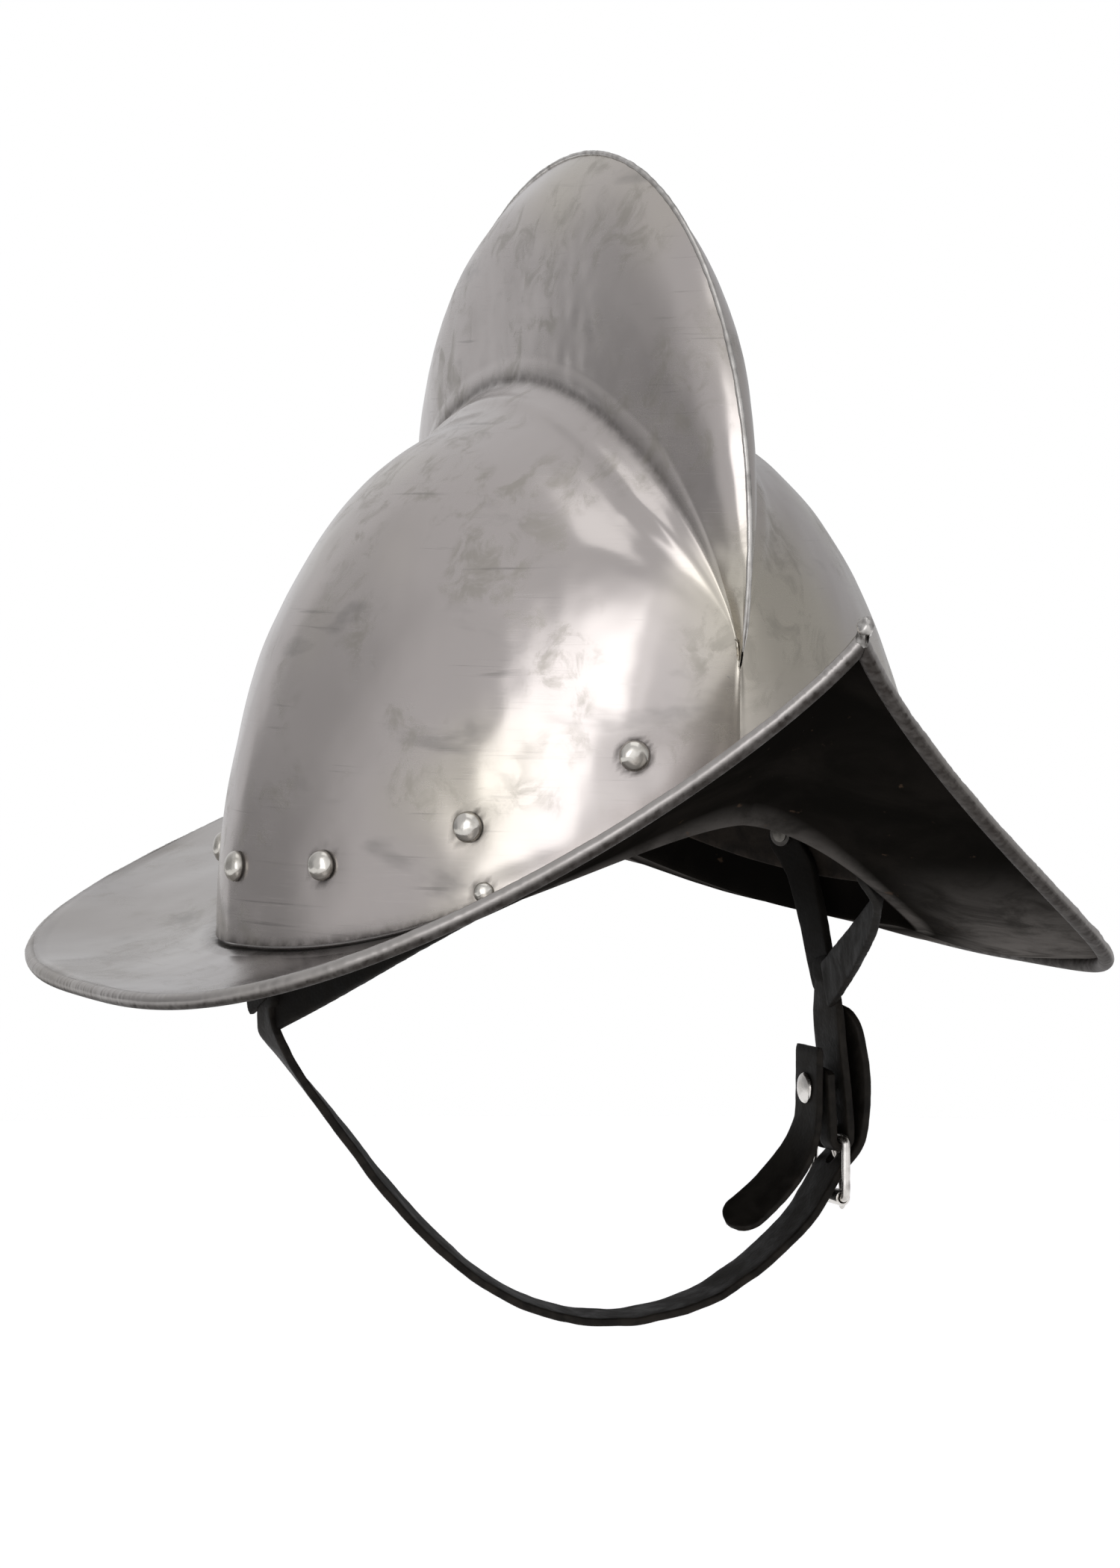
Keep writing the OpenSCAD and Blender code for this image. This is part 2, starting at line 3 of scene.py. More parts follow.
import bmesh
import bpy
import numpy as np
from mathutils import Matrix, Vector


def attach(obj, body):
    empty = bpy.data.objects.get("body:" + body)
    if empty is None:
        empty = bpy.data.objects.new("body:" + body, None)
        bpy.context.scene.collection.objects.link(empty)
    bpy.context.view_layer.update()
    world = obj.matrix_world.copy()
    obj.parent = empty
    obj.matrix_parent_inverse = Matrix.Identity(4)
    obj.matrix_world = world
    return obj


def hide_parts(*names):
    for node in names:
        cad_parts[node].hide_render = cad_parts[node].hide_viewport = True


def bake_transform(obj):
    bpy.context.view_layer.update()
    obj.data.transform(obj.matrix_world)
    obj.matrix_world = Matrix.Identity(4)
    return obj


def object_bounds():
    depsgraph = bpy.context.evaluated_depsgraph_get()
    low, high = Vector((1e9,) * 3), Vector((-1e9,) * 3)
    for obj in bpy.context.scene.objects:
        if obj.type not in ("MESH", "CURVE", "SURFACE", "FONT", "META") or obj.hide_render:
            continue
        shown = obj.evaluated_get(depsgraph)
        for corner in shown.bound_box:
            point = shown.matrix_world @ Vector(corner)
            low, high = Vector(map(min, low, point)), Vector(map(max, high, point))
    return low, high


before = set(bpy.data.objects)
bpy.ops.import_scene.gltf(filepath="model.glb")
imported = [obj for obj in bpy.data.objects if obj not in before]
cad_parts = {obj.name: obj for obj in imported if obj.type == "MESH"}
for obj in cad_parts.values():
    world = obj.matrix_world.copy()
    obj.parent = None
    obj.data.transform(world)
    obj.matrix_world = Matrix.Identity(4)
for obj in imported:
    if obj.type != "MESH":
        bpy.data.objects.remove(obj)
CAD_LO, CAD_HI = [list(corner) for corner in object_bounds()]

# ---- camera
MM = 0.001
CAM_AZ, CAM_EL = math.radians(-23.0), math.radians(3.3)
back = np.array([math.sin(CAM_AZ) * math.cos(CAM_EL), -math.cos(CAM_AZ) * math.cos(CAM_EL), math.sin(CAM_EL)])
side = np.array([math.cos(CAM_AZ), math.sin(CAM_AZ), 0.0])
up = np.cross(side, -back)
camera = bpy.data.objects.new("camera", bpy.data.cameras.new("camera"))
bpy.context.scene.collection.objects.link(camera)
camera.location = back * 1.5 - side * 0.0012 + up * 0.040
camera.rotation_euler = Vector(-back).to_track_quat("-Z", "Y").to_euler()
camera.data.sensor_width = 36
camera.data.lens = 123.9
camera.data.clip_start, camera.data.clip_end = 0.05, 60
bpy.context.scene.camera = camera
bpy.context.scene.view_settings.view_transform = "Standard"


# ---- maths
def pw(v, n):
    return np.sign(v) * np.abs(v) ** n


def unit(v):
    return v / np.maximum(np.linalg.norm(v, axis=-1, keepdims=True), 1e-9)


def smooth(k):
    k = np.clip(k, 0, 1)
    return k * k * (3 - 2 * k)


def mix(a, b, k):
    return a + (b - a) * k


def vec(*parts):
    return np.stack(np.broadcast_arrays(*[np.asarray(p, float) for p in parts]), -1)


def rad(t):
    return np.asarray(t, float) * math.pi / 180


def length(v):
    return np.linalg.norm(v, axis=-1)


def full_turn(n):
    """n even angles round a circle."""
    return np.linspace(0, 2 * math.pi, n, endpoint=False)


def ripple(p, size, seed, waves=14):
    """Smooth noise between about -1 and 1 with features about size mm long."""
    rng = np.random.default_rng(seed)
    k = rng.normal(size=(waves, 3))
    k *= (2 * math.pi / size / np.linalg.norm(k, axis=1) * rng.uniform(0.6, 1.5, waves))[:, None]
    return np.sin(p @ k.T + rng.uniform(0, 6.28, waves)).sum(-1) / math.sqrt(waves)


# ---- form of the helmet, in mm
SKULL_W, SKULL_L, SEAM_RISE, DOME_H, COMB_START, SHEET = 101.0, 110.0, 38.0, 148.0, 76.0, 1.5
COMB_TOP, COMB_W, FILLET, LENS = 213.0, 18.0, 9.0, 3.4
BRIM_W, BRIM_L, SIDE_Z, FRONT_Z, REAR_Z, WIRE_R = 140.5, 187.5, -9.5, 88.0, 37.0, 1.1
MID_Y, BRIM_Y, GAP, SUP, COLLAR = -5.0, 1.0, 0.3, 1.25, 36.0
HALF_GAP = 0.3  # the two halves of the skull start this far from the middle plane
RIDGE_Y, RIDGE_AHEAD, RIDGE_BEHIND, RIDGE_UP, RIDGE_DOWN = -14, 107.0, 120.0, 103.0, 110.0
LEATHER, STRAP_W = 2.4, 17.0
ROLL_R = WIRE_R + GAP / 2 + 0.9
RIVET_AT, RIVET_H, ANCHOR_AT, ANCHOR_H, YOKE_RIVET = [20.5, 43, 65, 86.5, 115, 142, 165], 25.0, 40, 3.0, 4
LOW = math.degrees(math.asin(34 / 110))


def seam(t, off=0.0):
    """Lower edge of the right half of the skull, t degrees from the front; off moves it inwards."""
    s, c = np.sin(rad(t)), np.cos(rad(t))
    return vec(-(SKULL_W - off) * pw(s, SUP) - HALF_GAP * c * c,
               MID_Y - (SKULL_L - off) * pw(c, SUP),
               SEAM_RISE * np.abs(c) ** 3.5)


def ridge(t):
    """Outline of the comb in the middle plane."""
    a = rad(np.asarray(t) * (180 + 2 * LOW) / 180 - LOW)
    s, c = np.sin(a), np.cos(a)
    e = 2 / np.where((c < 0) & (s > 0), 1.92, 2.0)
    y = RIDGE_Y - np.where(c > 0, RIDGE_AHEAD, RIDGE_BEHIND) * pw(c, e)
    z = COMB_TOP - RIDGE_UP + np.where(s < 0, RIDGE_DOWN, RIDGE_UP) * pw(s, e)
    return vec(-HALF_GAP, y, z)


RIDGE_FRONT, RIDGE_REAR = ridge(0.0)[1], ridge(180.0)[1]


def crown(t, off=0.0):
    """Where the dome would meet the middle plane if there were no comb."""
    y = mix(RIDGE_FRONT, RIDGE_REAR, (1 - np.cos(rad(t))) / 2)
    return vec(-HALF_GAP, y, COMB_START + (DOME_H - COMB_START - off) * np.sin(rad(t)))


def dome(t, f, off=0.0):
    """Point of the dome on rib t, f degrees up from the seam."""
    c, m = seam(t, off), crown(t, off)
    co, si = np.cos(rad(f)), np.sin(rad(f))
    return vec(m[..., 0] + (c[..., 0] - m[..., 0]) * co,
               c[..., 1] + (m[..., 1] - c[..., 1]) * si,
               c[..., 2] + (m[..., 2] - c[..., 2]) * si)


def rise(t, h):
    """Angle up rib t at a height of h mm over the seam."""
    return np.degrees(np.arcsin(h / length(crown(t) - seam(t))))


def skin(t, h, off=0.0):
    return dome(t, rise(t, h), off)


def skin_n(t, h):
    f = rise(t, h)
    c = unit(np.cross(dome(t + 1, f) - dome(t - 1, f), dome(t, f + 1) - dome(t, f - 1)))
    return np.where(c[..., :1] < 0, c, -c)


def bezier(p, q, r, s, k):
    return p * (1 - k) ** 3 + q * 3 * k * (1 - k) ** 2 + r * 3 * k * k * (1 - k) + s * k ** 3


def bow(a, b, c, k):
    return a * (1 - k) ** 2 + b * 2 * k * (1 - k) + c * k * k


def rib(t, n_dome, n_fil, n_comb):
    """Points up one rib of the skull: the dome, the hollow fillet, then the side of the comb."""
    c, m, p = seam(t), crown(t), ridge(t)
    h = np.linalg.norm(p - m)
    cw = HALF_GAP + (COMB_W - HALF_GAP) * smooth(h / 66)
    fr = FILLET * smooth(h / 30) * min(1, abs(c[0]) / 60)
    span = max(abs(c[0]) - HALF_GAP, 0.01)
    f1 = math.degrees(math.acos(min(0.999, max(0.06, min(cw + fr, span * 0.96) / span))))
    if abs(c[0]) < 6:
        f1 = 84.0
    d = dome(t, f1)
    dt = unit(d - dome(t, f1 - 2))
    rise_dir = np.array([0, 0, 1.0]) if h < 0.5 else unit(p - m)
    e = m + rise_dir * min(h, fr * 1.1) + np.array([-(cw * (1 - 0.8 * min(h, fr) / max(h, 1))), 0, 0])
    e[0] = min(e[0], -HALF_GAP)
    et = unit(p - e)
    g = np.linalg.norm(e - d) * 0.42
    low = np.linspace(0, 1, n_dome, endpoint=False)
    k = np.linspace(0, 1, n_fil, endpoint=False)[:, None]
    q = np.linspace(0, 1, n_comb + 1)[:, None]
    comb = mix(e, p, q)
    comb[:, 0] = p[0] + (e[0] - p[0]) * ((1 - np.exp(-LENS * (1 - q[:, 0]))) / (1 - math.exp(-LENS)))
    return np.vstack([dome(t, f1 * low), bezier(d, d + dt * g, e - et * g, e, k), comb])


def station(i, n):
    """Angle of rib i of n, closer together at the front and rear than an even spacing."""
    return 180 * (0.5 - 0.5 * np.cos(math.pi * i / n)) * 0.45 + 180 * i / n * 0.55


def rim(t):
    """Edge of the right half of the brim."""
    u = -pw(np.cos(rad(t)), 1.4)
    a = np.abs(u)
    return vec(-BRIM_W * np.maximum(1 - a ** 3, 0) ** 1.2 - HALF_GAP, BRIM_Y + BRIM_L * u,
               SIDE_Z + np.where(u < 0, (FRONT_Z - SIDE_Z) * a ** 3.65, (REAR_Z - SIDE_Z) * a ** 2.4))


def roll_frame(t):
    """Middle of the rolled edge with its outward and downward directions."""
    t = np.asarray(t, float)
    end = ((t < 0.1) | (t > 179.9))[..., None]
    tg = unit(rim(np.minimum(t + 1.5, 180)) - rim(np.maximum(t - 1.5, 0)))
    tg = np.where(end, np.array([1.0, 0, 0]), tg)
    a = rim(t) - seam(t)
    b = a - tg * (a * tg).sum(-1, keepdims=True)
    out = unit(np.where(end, b * np.array([0, 1.0, 1.0]), b))
    down = np.cross(tg, out)
    down = unit(np.where(down[..., 2:] > 0, -down, down))
    return rim(t) + down * ROLL_R, out, down


# ---- meshes
MIRROR = np.array([-1.0, 1, 1])


def grid_quads(n, m, start=0, flip=False, closed=False):
    """Faces of a grid of n rows by m columns of points; closed joins the last column to the first."""
    i, j = np.meshgrid(np.arange(n - 1), np.arange(m if closed else m - 1), indexing="ij")
    i, j = i.ravel(), j.ravel()
    k = (j + 1) % m
    q = np.stack([i * m + j, (i + 1) * m + j, (i + 1) * m + k, i * m + k], 1) + start
    return q[:, ::-1] if flip else q


def normals(g):
    """Normals of a grid of points; level with the middle plane in the first and last row."""
    a = np.empty_like(g)
    b = np.empty_like(g)
    a[1:-1], a[0], a[-1] = g[2:] - g[:-2], g[1] - g[0], g[-1] - g[-2]
    b[:, 1:-1], b[:, 0], b[:, -1] = g[:, 2:] - g[:, :-2], g[:, 1] - g[:, 0], g[:, -1] - g[:, -2]
    n = np.cross(a, b)
    n[0, :, 0] = n[-1, :, 0] = 0
    return unit(n)


def make(name, points, faces, body, mats, replaces=(), index=None, values=None, sharp=40):
    """A mesh piece from points in mm. index gives each face's material, values named numbers per point."""
    mesh = bpy.data.meshes.new(name)
    mesh.from_pydata((np.asarray(points, float) * MM).tolist(), [], [list(map(int, f)) for f in faces])
    for mat in mats if isinstance(mats, (list, tuple)) else [mats]:
        mesh.materials.append(mat)
    if index is not None:
        mesh.polygons.foreach_set("material_index", np.asarray(index, np.int32))
    for key, value in (values or {}).items():
        layer = mesh.attributes.new(key, "FLOAT", "POINT")
        layer.data.foreach_set("value", np.asarray(value, np.float32))
    mesh.validate()
    shape = bmesh.new()
    shape.from_mesh(mesh)
    bmesh.ops.recalc_face_normals(shape, faces=shape.faces)
    shape.to_mesh(mesh)
    shape.free()
    mesh.shade_smooth()
    mesh.set_sharp_from_angle(angle=math.radians(sharp))
    obj = bpy.data.objects.new(name, mesh)
    bpy.context.scene.collection.objects.link(obj)
    if body:
        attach(obj, body)
        if replaces:
            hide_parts(*replaces)
    return obj


def shell_faces(n, m, flip):
    """Faces of a closed sheet between two grids of n by m points, outer side first."""
    w, k = m, n * m
    outer = grid_quads(n, m, 0, flip)
    inner = grid_quads(n, m, k, not flip)
    edge = []
    for i in range(n - 1):
        edge.append([i * w, k + i * w, k + (i + 1) * w, (i + 1) * w])
        edge.append([i * w + m - 1, (i + 1) * w + m - 1, k + (i + 1) * w + m - 1, k + i * w + m - 1])
    for j in range(m - 1):
        edge.append([j, j + 1, k + j + 1, k + j])
        edge.append([(n - 1) * w + j, k + (n - 1) * w + j, k + (n - 1) * w + j + 1, (n - 1) * w + j + 1])
    edge = np.array(edge)
    return outer, inner, edge[:, ::-1] if flip else edge


def sheet(name, mats, replaces, outer, inner, turned, flip_x, values, sharp=40):
    """A closed sheet between two grids of points; flip_x makes the left-hand copy.

    With two materials the second covers the inner side. values holds per-point pairs, outer and inner."""
    n, m = outer.shape[:2]
    o, q, e = shell_faces(n, m, turned)
    faces = np.vstack([o, q, e])
    points = np.vstack([outer.reshape(-1, 3), inner.reshape(-1, 3)])
    if flip_x:
        points, faces = points * MIRROR, faces[:, ::-1]
    index = np.r_[np.zeros(len(o)), np.ones(len(q)), np.zeros(len(e))] if len(mats) > 1 else None
    values = {key: np.concatenate([np.broadcast_to(side, (n, m)).ravel() for side in pair])
              for key, pair in values.items()}
    return make(name, points, faces, "helmet", mats, replaces, index, values, sharp)


def faces_inward(g, out, i, j):
    """Whether the grid's own winding at row i, column j runs against the outward direction."""
    return out @ np.cross(g[i + 1, j] - g[i, j], g[i, j + 1] - g[i, j]) < 0


# ---- materials
def wire(node, name, value):
    """Links a socket to an input, or sets the input to a plain value."""
    socket = node.inputs[name]
    if isinstance(value, bpy.types.NodeSocket):
        node.id_data.links.new(value, socket)
    else:
        socket.default_value = value


def add(tree, kind, inputs=None, **props):
    node = tree.nodes.new(kind)
    for key, value in props.items():
        setattr(node, key, value)
    for key, value in (inputs or {}).items():
        wire(node, key, value)
    return node


def material(name, metallic=0.0, specular=0.5):
    """A new material with its shader node and its object coordinates."""
    mat = bpy.data.materials.new(name)
    mat.use_nodes = True
    bsdf = mat.node_tree.nodes["Principled BSDF"]
    wire(bsdf, "Metallic", metallic)
    wire(bsdf, "Specular IOR Level", specular)
    return mat, bsdf, add(mat.node_tree, "ShaderNodeTexCoord").outputs["Object"]


# The helpers below add their node to the tree of the socket they are given.
def noise(coord, scale, detail=4.0, rough=0.5, twist=0.0, stretch=None, turn=(0, 0, 0)):
    """Noise in object space, scale per metre; stretch and turn draw it out into lines."""
    tree = coord.id_data
    if stretch:
        coord = add(tree, "ShaderNodeMapping", {"Vector": coord, "Scale": stretch, "Rotation": turn}).outputs[0]
    inputs = {"Vector": coord, "Scale": scale, "Detail": detail, "Roughness": rough, "Distortion": twist}
    return add(tree, "ShaderNodeTexNoise", inputs).outputs["Fac"]


def ramp(value, lo, hi, a=0.0, b=1.0):
    """Maps lo..hi smoothly to a..b."""
    inputs = {"Value": value, "From Min": lo, "From Max": hi, "To Min": a, "To Max": b}
    return add(value.id_data, "ShaderNodeMapRange", inputs, interpolation_type="SMOOTHSTEP").outputs["Result"]


def calc(kind, a, b):
    return add(a.id_data, "ShaderNodeMath", {0: a, 1: b}, operation=kind).outputs[0]


def times(a, b):
    return calc("MULTIPLY", a, b)


def plus(a, b):
    return calc("ADD", a, b)


def blend_colour(k, a, b):
    node = add(k.id_data, "ShaderNodeMix", {0: k}, data_type="RGBA")
    for i, part in ((6, a), (7, b)):
        wire(node, i, part if isinstance(part, bpy.types.NodeSocket) else (*part, 1))
    return node.outputs[2]


def attribute(node, name):
    """The named number that the mesh has at each point, for a node of a material."""
    return add(node.id_data, "ShaderNodeAttribute", attribute_name=name).outputs["Fac"]


def finish(bsdf, colour, shine, layers):
    """Wires up the colour, the roughness and the bump layers, each (height, strength, distance in mm)."""
    wire(bsdf, "Base Color", colour)
    wire(bsdf, "Roughness", shine)
    last = None
    for height, strength, distance in layers:
        inputs = {"Height": height, "Strength": strength, "Distance": distance * MM}
        node = add(bsdf.id_data, "ShaderNodeBump", inputs)
        if last:
            wire(node, "Normal", last)
        last = node.outputs["Normal"]
    wire(bsdf, "Normal", last)


def steel(name, base=(0.470, 0.437, 0.420), warm=(0.495, 0.463, 0.398), rough=0.18, mottle=1.0, streaks=1.0,
          patchy=0.6):
    """Hand-polished steel: cool and warm zones, mottled patina, smudges, polishing marks, dirt and painted shade in
    corners.
    """
    mat, bsdf, p = material(name, metallic=1.0)
    zone = ramp(noise(p, 9.0, 2.0), 0.42, 0.60)
    colour = blend_colour(zone, base, warm)
    cloud = noise(p, 30.0, 3.0, 0.55)
    spots = ramp(noise(p, 95.0, 9.0, 0.66, 0.7), 0.46, 0.64)
    spots = times(times(spots, ramp(cloud, 0.45, 0.60)), mottle)
    colour = blend_colour(times(spots, 0.55), colour, (0.29, 0.272, 0.235))
    smudge = ramp(noise(p, 26.0, 4.0, 0.5, 0.3, (1, 1, 2.4)), 0.60, 0.74)
    colour = blend_colour(times(smudge, 0.45), colour, (0.22, 0.21, 0.20))
    line = ramp(noise(p, 1.0, 5.0, 0.6, 0.4, (16, 16, 520)), 0.60, 0.72)
    line = times(line, ramp(noise(p, 24.0, 2.0), 0.45, 0.62))
    colour = blend_colour(times(line, 0.5 * streaks), colour, (0.2, 0.19, 0.18))
    scratch = noise(p, 1.0, 3.0, 0.6, 0.0, (70, 70, 2600))
    cross = noise(p, 1.0, 3.0, 0.6, 0.0, (1500, 90, 60), (0.3, 0.5, 0.6))
    shine = ramp(cloud, 0.35, 0.70, rough - 0.03, rough + 0.09)
    shine = plus(shine, times(spots, 0.10))
    shine = plus(shine, times(ramp(scratch, 0.55, 0.75), 0.07))
    patches = ramp(noise(p, 260.0, 4.0, 0.6), 0.30, 0.62, patchy, 1.0)
    # dark mask from the point values, broken into patches: dirt, and painted shade in the crease below the comb,
    # under the skull's edge and round the rivets
    grime_and_shade = times(attribute(bsdf, "dirt"), patches)
    colour = blend_colour(grime_and_shade, colour, (0.035, 0.030, 0.027))
    shine = plus(shine, times(grime_and_shade, 0.35))
    finish(bsdf, colour, shine, [(noise(p, 60.0, 3.0), 0.12, 0.25), (scratch, 0.10, 0.03), (cross, 0.06, 0.03),
                                 (spots, 0.10, 0.05)])
    return mat


def black_paint(name):
    """Rough black inside of the steel, worn to grey towards the rim."""
    mat, bsdf, p = material(name, specular=0.0)
    patch = noise(p, 34.0, 6.0, 0.6, 0.4)
    colour = blend_colour(ramp(patch, 0.35, 0.70), (0.0042, 0.0038, 0.0033), (0.0085, 0.0073, 0.0063))
    rubbed = ramp(noise(p, 55.0, 7.0, 0.65, 0.5), 0.32, 0.62, 0.35, 1.0)
    worn = times(attribute(bsdf, "worn"), rubbed)
    colour = blend_colour(worn, colour, (0.115, 0.106, 0.099))
    rust = ramp(noise(p, 180.0, 5.0, 0.6), 0.66, 0.74)
    colour = blend_colour(times(rust, 0.4), colour, (0.07, 0.045, 0.03))
    shine = ramp(patch, 0.3, 0.7, 0.42, 0.62)
    finish(bsdf, colour, shine, [(noise(p, 420.0, 4.0, 0.6), 0.30, 0.12), (patch, 0.25, 0.4)])
    return mat


def leather(name, dark=(0.006, 0.0052, 0.0044), light=(0.0115, 0.0100, 0.0084), edge=(0.017, 0.0145, 0.012),
            grain=900.0, rough=0.52):
    """Dyed leather with a pebbled grain, folds and rubbed edges."""
    mat, bsdf, p = material(name, specular=0.07)
    pebbles = {"Vector": p, "Scale": grain, "Randomness": 1.0}
    cells = add(p.id_data, "ShaderNodeTexVoronoi", pebbles, feature="F1").outputs["Distance"]
    fold = noise(p, 120.0, 6.0, 0.6, 0.6)
    colour = blend_colour(ramp(fold, 0.35, 0.68), dark, light)
    rub = times(attribute(bsdf, "edge"), ramp(noise(p, 240.0, 4.0), 0.38, 0.66))
    colour = blend_colour(times(rub, 0.8), colour, edge)
    scuff = ramp(noise(p, 1.0, 4.0, 0.6, 0.3, (260, 900, 120)), 0.64, 0.76)
    colour = blend_colour(times(scuff, 0.35), colour, edge)
    shine = ramp(fold, 0.3, 0.7, rough - 0.08, rough + 0.12)
    finish(bsdf, colour, shine, [(cells, 0.35, 0.12), (fold, 0.30, 0.25)])
    return mat


def bright_metal(name, base, rough, tarnish, mark=0.35):
    """Plain metal of the small fittings with some tarnish, dirt and painted shade in the corners and fine marks."""
    mat, bsdf, p = material(name, metallic=1.0)
    cloud = noise(p, 210.0, 5.0, 0.6, 0.3)
    colour = blend_colour(times(ramp(cloud, 0.45, 0.68), 0.6), base, tarnish)
    # dark mask from the point values: dirt, and painted shade at the foot of the rivet heads
    grime_and_shade = times(attribute(bsdf, "dirt"), 0.9)
    colour = blend_colour(grime_and_shade, colour, (0.03, 0.026, 0.022))
    fine = noise(p, 1.0, 3.0, 0.6, 0.0, (400, 900, 3200), (0.4, 0.2, 0.5))
    shine = plus(ramp(cloud, 0.3, 0.7, rough - 0.03, rough + 0.12), times(grime_and_shade, 0.4))
    finish(bsdf, colour, shine, [(noise(p, 330.0, 3.0), mark, 0.10), (fine, 0.12, 0.02)])
    return mat


def cord_fibre(name):
    """Matt twisted thread."""
    mat, bsdf, p = material(name, specular=0.2)
    fuzz = noise(p, 800.0, 5.0, 0.7)
    colour = blend_colour(ramp(fuzz, 0.3, 0.7), (0.030, 0.023, 0.018), (0.075, 0.058, 0.044))
    finish(bsdf, colour, ramp(fuzz, 0.3, 0.7, 0.75, 0.9), [(fuzz, 0.5, 0.15)])
    return mat


SKULL_STEEL = steel("skull-steel")
BRIM_STEEL = steel("brim-steel", (0.405, 0.388, 0.378), (0.41, 0.39, 0.37), 0.19, mottle=0.5, streaks=0.4)
WELD_STEEL = bright_metal("weld-steel", (0.50, 0.485, 0.465), 0.24, (0.36, 0.34, 0.32), 0.3)
RIVET_STEEL = bright_metal("rivet-steel", (0.56, 0.54, 0.50), 0.17, (0.34, 0.32, 0.28))
DARK_STEEL = bright_metal("dark-steel", (0.09, 0.085, 0.08), 0.42, (0.045, 0.04, 0.035))
NICKEL = bright_metal("nickel", (0.68, 0.66, 0.63), 0.15, (0.45, 0.42, 0.38), 0.25)
PAINT = black_paint("black-paint")
STRAP_LEATHER = leather("strap-leather")
YOKE_LEATHER = leather("yoke-leather", (0.0045, 0.0040, 0.0034), (0.0080, 0.0070, 0.0060),
                       (0.0105, 0.009, 0.0075), rough=0.66)
LINER_LEATHER = leather("liner-leather", (0.009, 0.0072, 0.0058), (0.020, 0.016, 0.0128),
                        (0.032, 0.025, 0.020), 700.0, 0.62)
LACE = cord_fibre("lace-cord")
THREAD = cord_fibre("thread")


# ---- skull halves
def bell(x, middle, width):
    """A smooth bump of height 1."""
    return np.exp(-((x - middle) / width) ** 2)


SKULL_RIBS, SKULL_ROWS = 230, (74, 26, 52)  # ribs, and the points of dome, fillet and comb on each
SKULL_SEED, BRIM_SEED, ROLL_SEED = 31, 41, 51


def uneven(g, flip_x, seed, *layers):
    """Waves of a hammered surface at a grid of points, from (height, size) layers."""
    flat = (g * MIRROR if flip_x else g).reshape(-1, 3)
    return sum(k * ripple(flat, size, seed + i) for i, (k, size) in enumerate(layers)).reshape(g.shape[:2])


def inside(n):
    """0 in the first and last of n rows, 1 from the seventh in."""
    return smooth(np.minimum(np.arange(n), n - 1 - np.arange(n)) / 6)[:, None]


def skull_half(name, node, flip_x):
    n = SKULL_RIBS
    ts = station(np.arange(n), n - 1)
    g = np.array([rib(t, *SKULL_ROWS) for t in ts])
    nn = normals(g)
    if nn[n // 2, 20, 0] > 0:
        nn = -nn
    m = g.shape[1]
    row = np.arange(m)
    k = (row - SKULL_ROWS[0]) / SKULL_ROWS[1]  # 0 to 1 across the fillet between dome and comb
    height = length(ridge(ts) - crown(ts))
    comb = smooth(height / 40)[:, None]
    wide = np.minimum(1, np.abs(seam(ts)[:, :1]) / 60)
    # uneven surface, level at the edges
    wave = uneven(g, flip_x, SKULL_SEED, (0.26, 62), (0.10, 26), (0.025, 9))
    push = wave * (smooth(row / 6)[None, :] * smooth((m - 1 - row) / 10)[None, :]) * inside(n)
    # ridge and groove of the crease below the comb
    crease = 1.25 * bell(k, 0.28, 0.17) - 1.15 * bell(k, 0.70, 0.13) - 0.35 * bell(k, -0.16, 0.14)
    push += comb * wide * crease[None, :]
    # hollow round each rivet, and a tall dent over the front two
    for i, t in enumerate(RIVET_AT):
        for h, radius, depth, tall in ((RIVET_H, 8.5, -0.42, 1.0), (RIVET_H + 13, 5.0, 0.22 if i < 2 else 0.0, 2.2)):
            d = (g - skin(t, h)) * np.array([1, 1, 1 / tall])
            push += depth * bell(length(d), 0, radius)
    g = g + nn * push[..., None]
    g[..., 0] = np.minimum(g[..., 0], -0.28)
    g[0, :, 0] = g[-1, :, 0] = -0.02
    # inner side; at the foot of the comb it is drawn towards the middle so that it stays inside
    inner = g - nn * SHEET
    foot = ((1 - smooth((height - 5) / 9))[:, None] * smooth((row - SKULL_ROWS[0] + 14) / 8)[None, :])[..., None]
    inner = mix(inner, g + unit(np.array([0, -14, 55.0]) - g) * SHEET, foot)
    inner[..., 0] = np.minimum(inner[..., 0], -0.12)
    g = g + nn * 0.35 * np.exp(-row / 1.2)[None, :, None]
    # dirt and painted shade along the lower edge over the brim and round each rivet, and painted shade in the crease
    # below the comb
    dirt = np.zeros((n, m)) + 0.85 * np.exp(-row / 0.8)[None, :] + 0.62 * comb * wide * bell(k, 0.72, 0.10)[None, :]
    for t in RIVET_AT:
        r = length(g - skin(t, RIVET_H))
        dirt += 0.75 * bell(r, 4.3, 0.7) + 0.10 * bell(r, 0, 9.0)
    r = length(g - skin(ANCHOR_AT, ANCHOR_H))
    dirt += 0.7 * bell(r, 3.0, 0.7)
    sheet(name, [SKULL_STEEL, PAINT], [node], g, inner, True, flip_x,
          {"dirt": (np.clip(dirt, 0, 1), 0.0), "worn": (0.0, 0.05)})


skull_half("skull-right", "skull_right_half", False)
skull_half("skull-left", "skull_left_half", True)


# ---- tubes, lathes and straps
def tube_faces(k, m):
    """Faces of a closed tube of k rings of m points, with one face over each end."""
    f = [list(q) for q in grid_quads(k, m, 0, True, True)]
    return f + [list(range(m)), [(k - 1) * m + j for j in reversed(range(m))]]


def sweep(path, radius, sides=12, ref=(0, 0, 1), closed=False):
    """Points of a round tube along a path; radius may differ at each point, or each point and side."""
    if closed:
        tg = unit(np.roll(path, -1, 0) - np.roll(path, 1, 0))
    else:
        tg = unit(np.gradient(path, axis=0))
    a = unit(np.cross(tg, ref))
    b = np.cross(a, tg)
    w = full_turn(sides)
    r = np.asarray(radius, float)
    r = np.broadcast_to(r if r.ndim > 1 else r[..., None], (len(path), sides))[..., None]
    across = a[:, None, :] * np.cos(w)[None, :, None] + b[:, None, :] * np.sin(w)[None, :, None]
    return (path[:, None, :] + r * across).reshape(-1, 3)


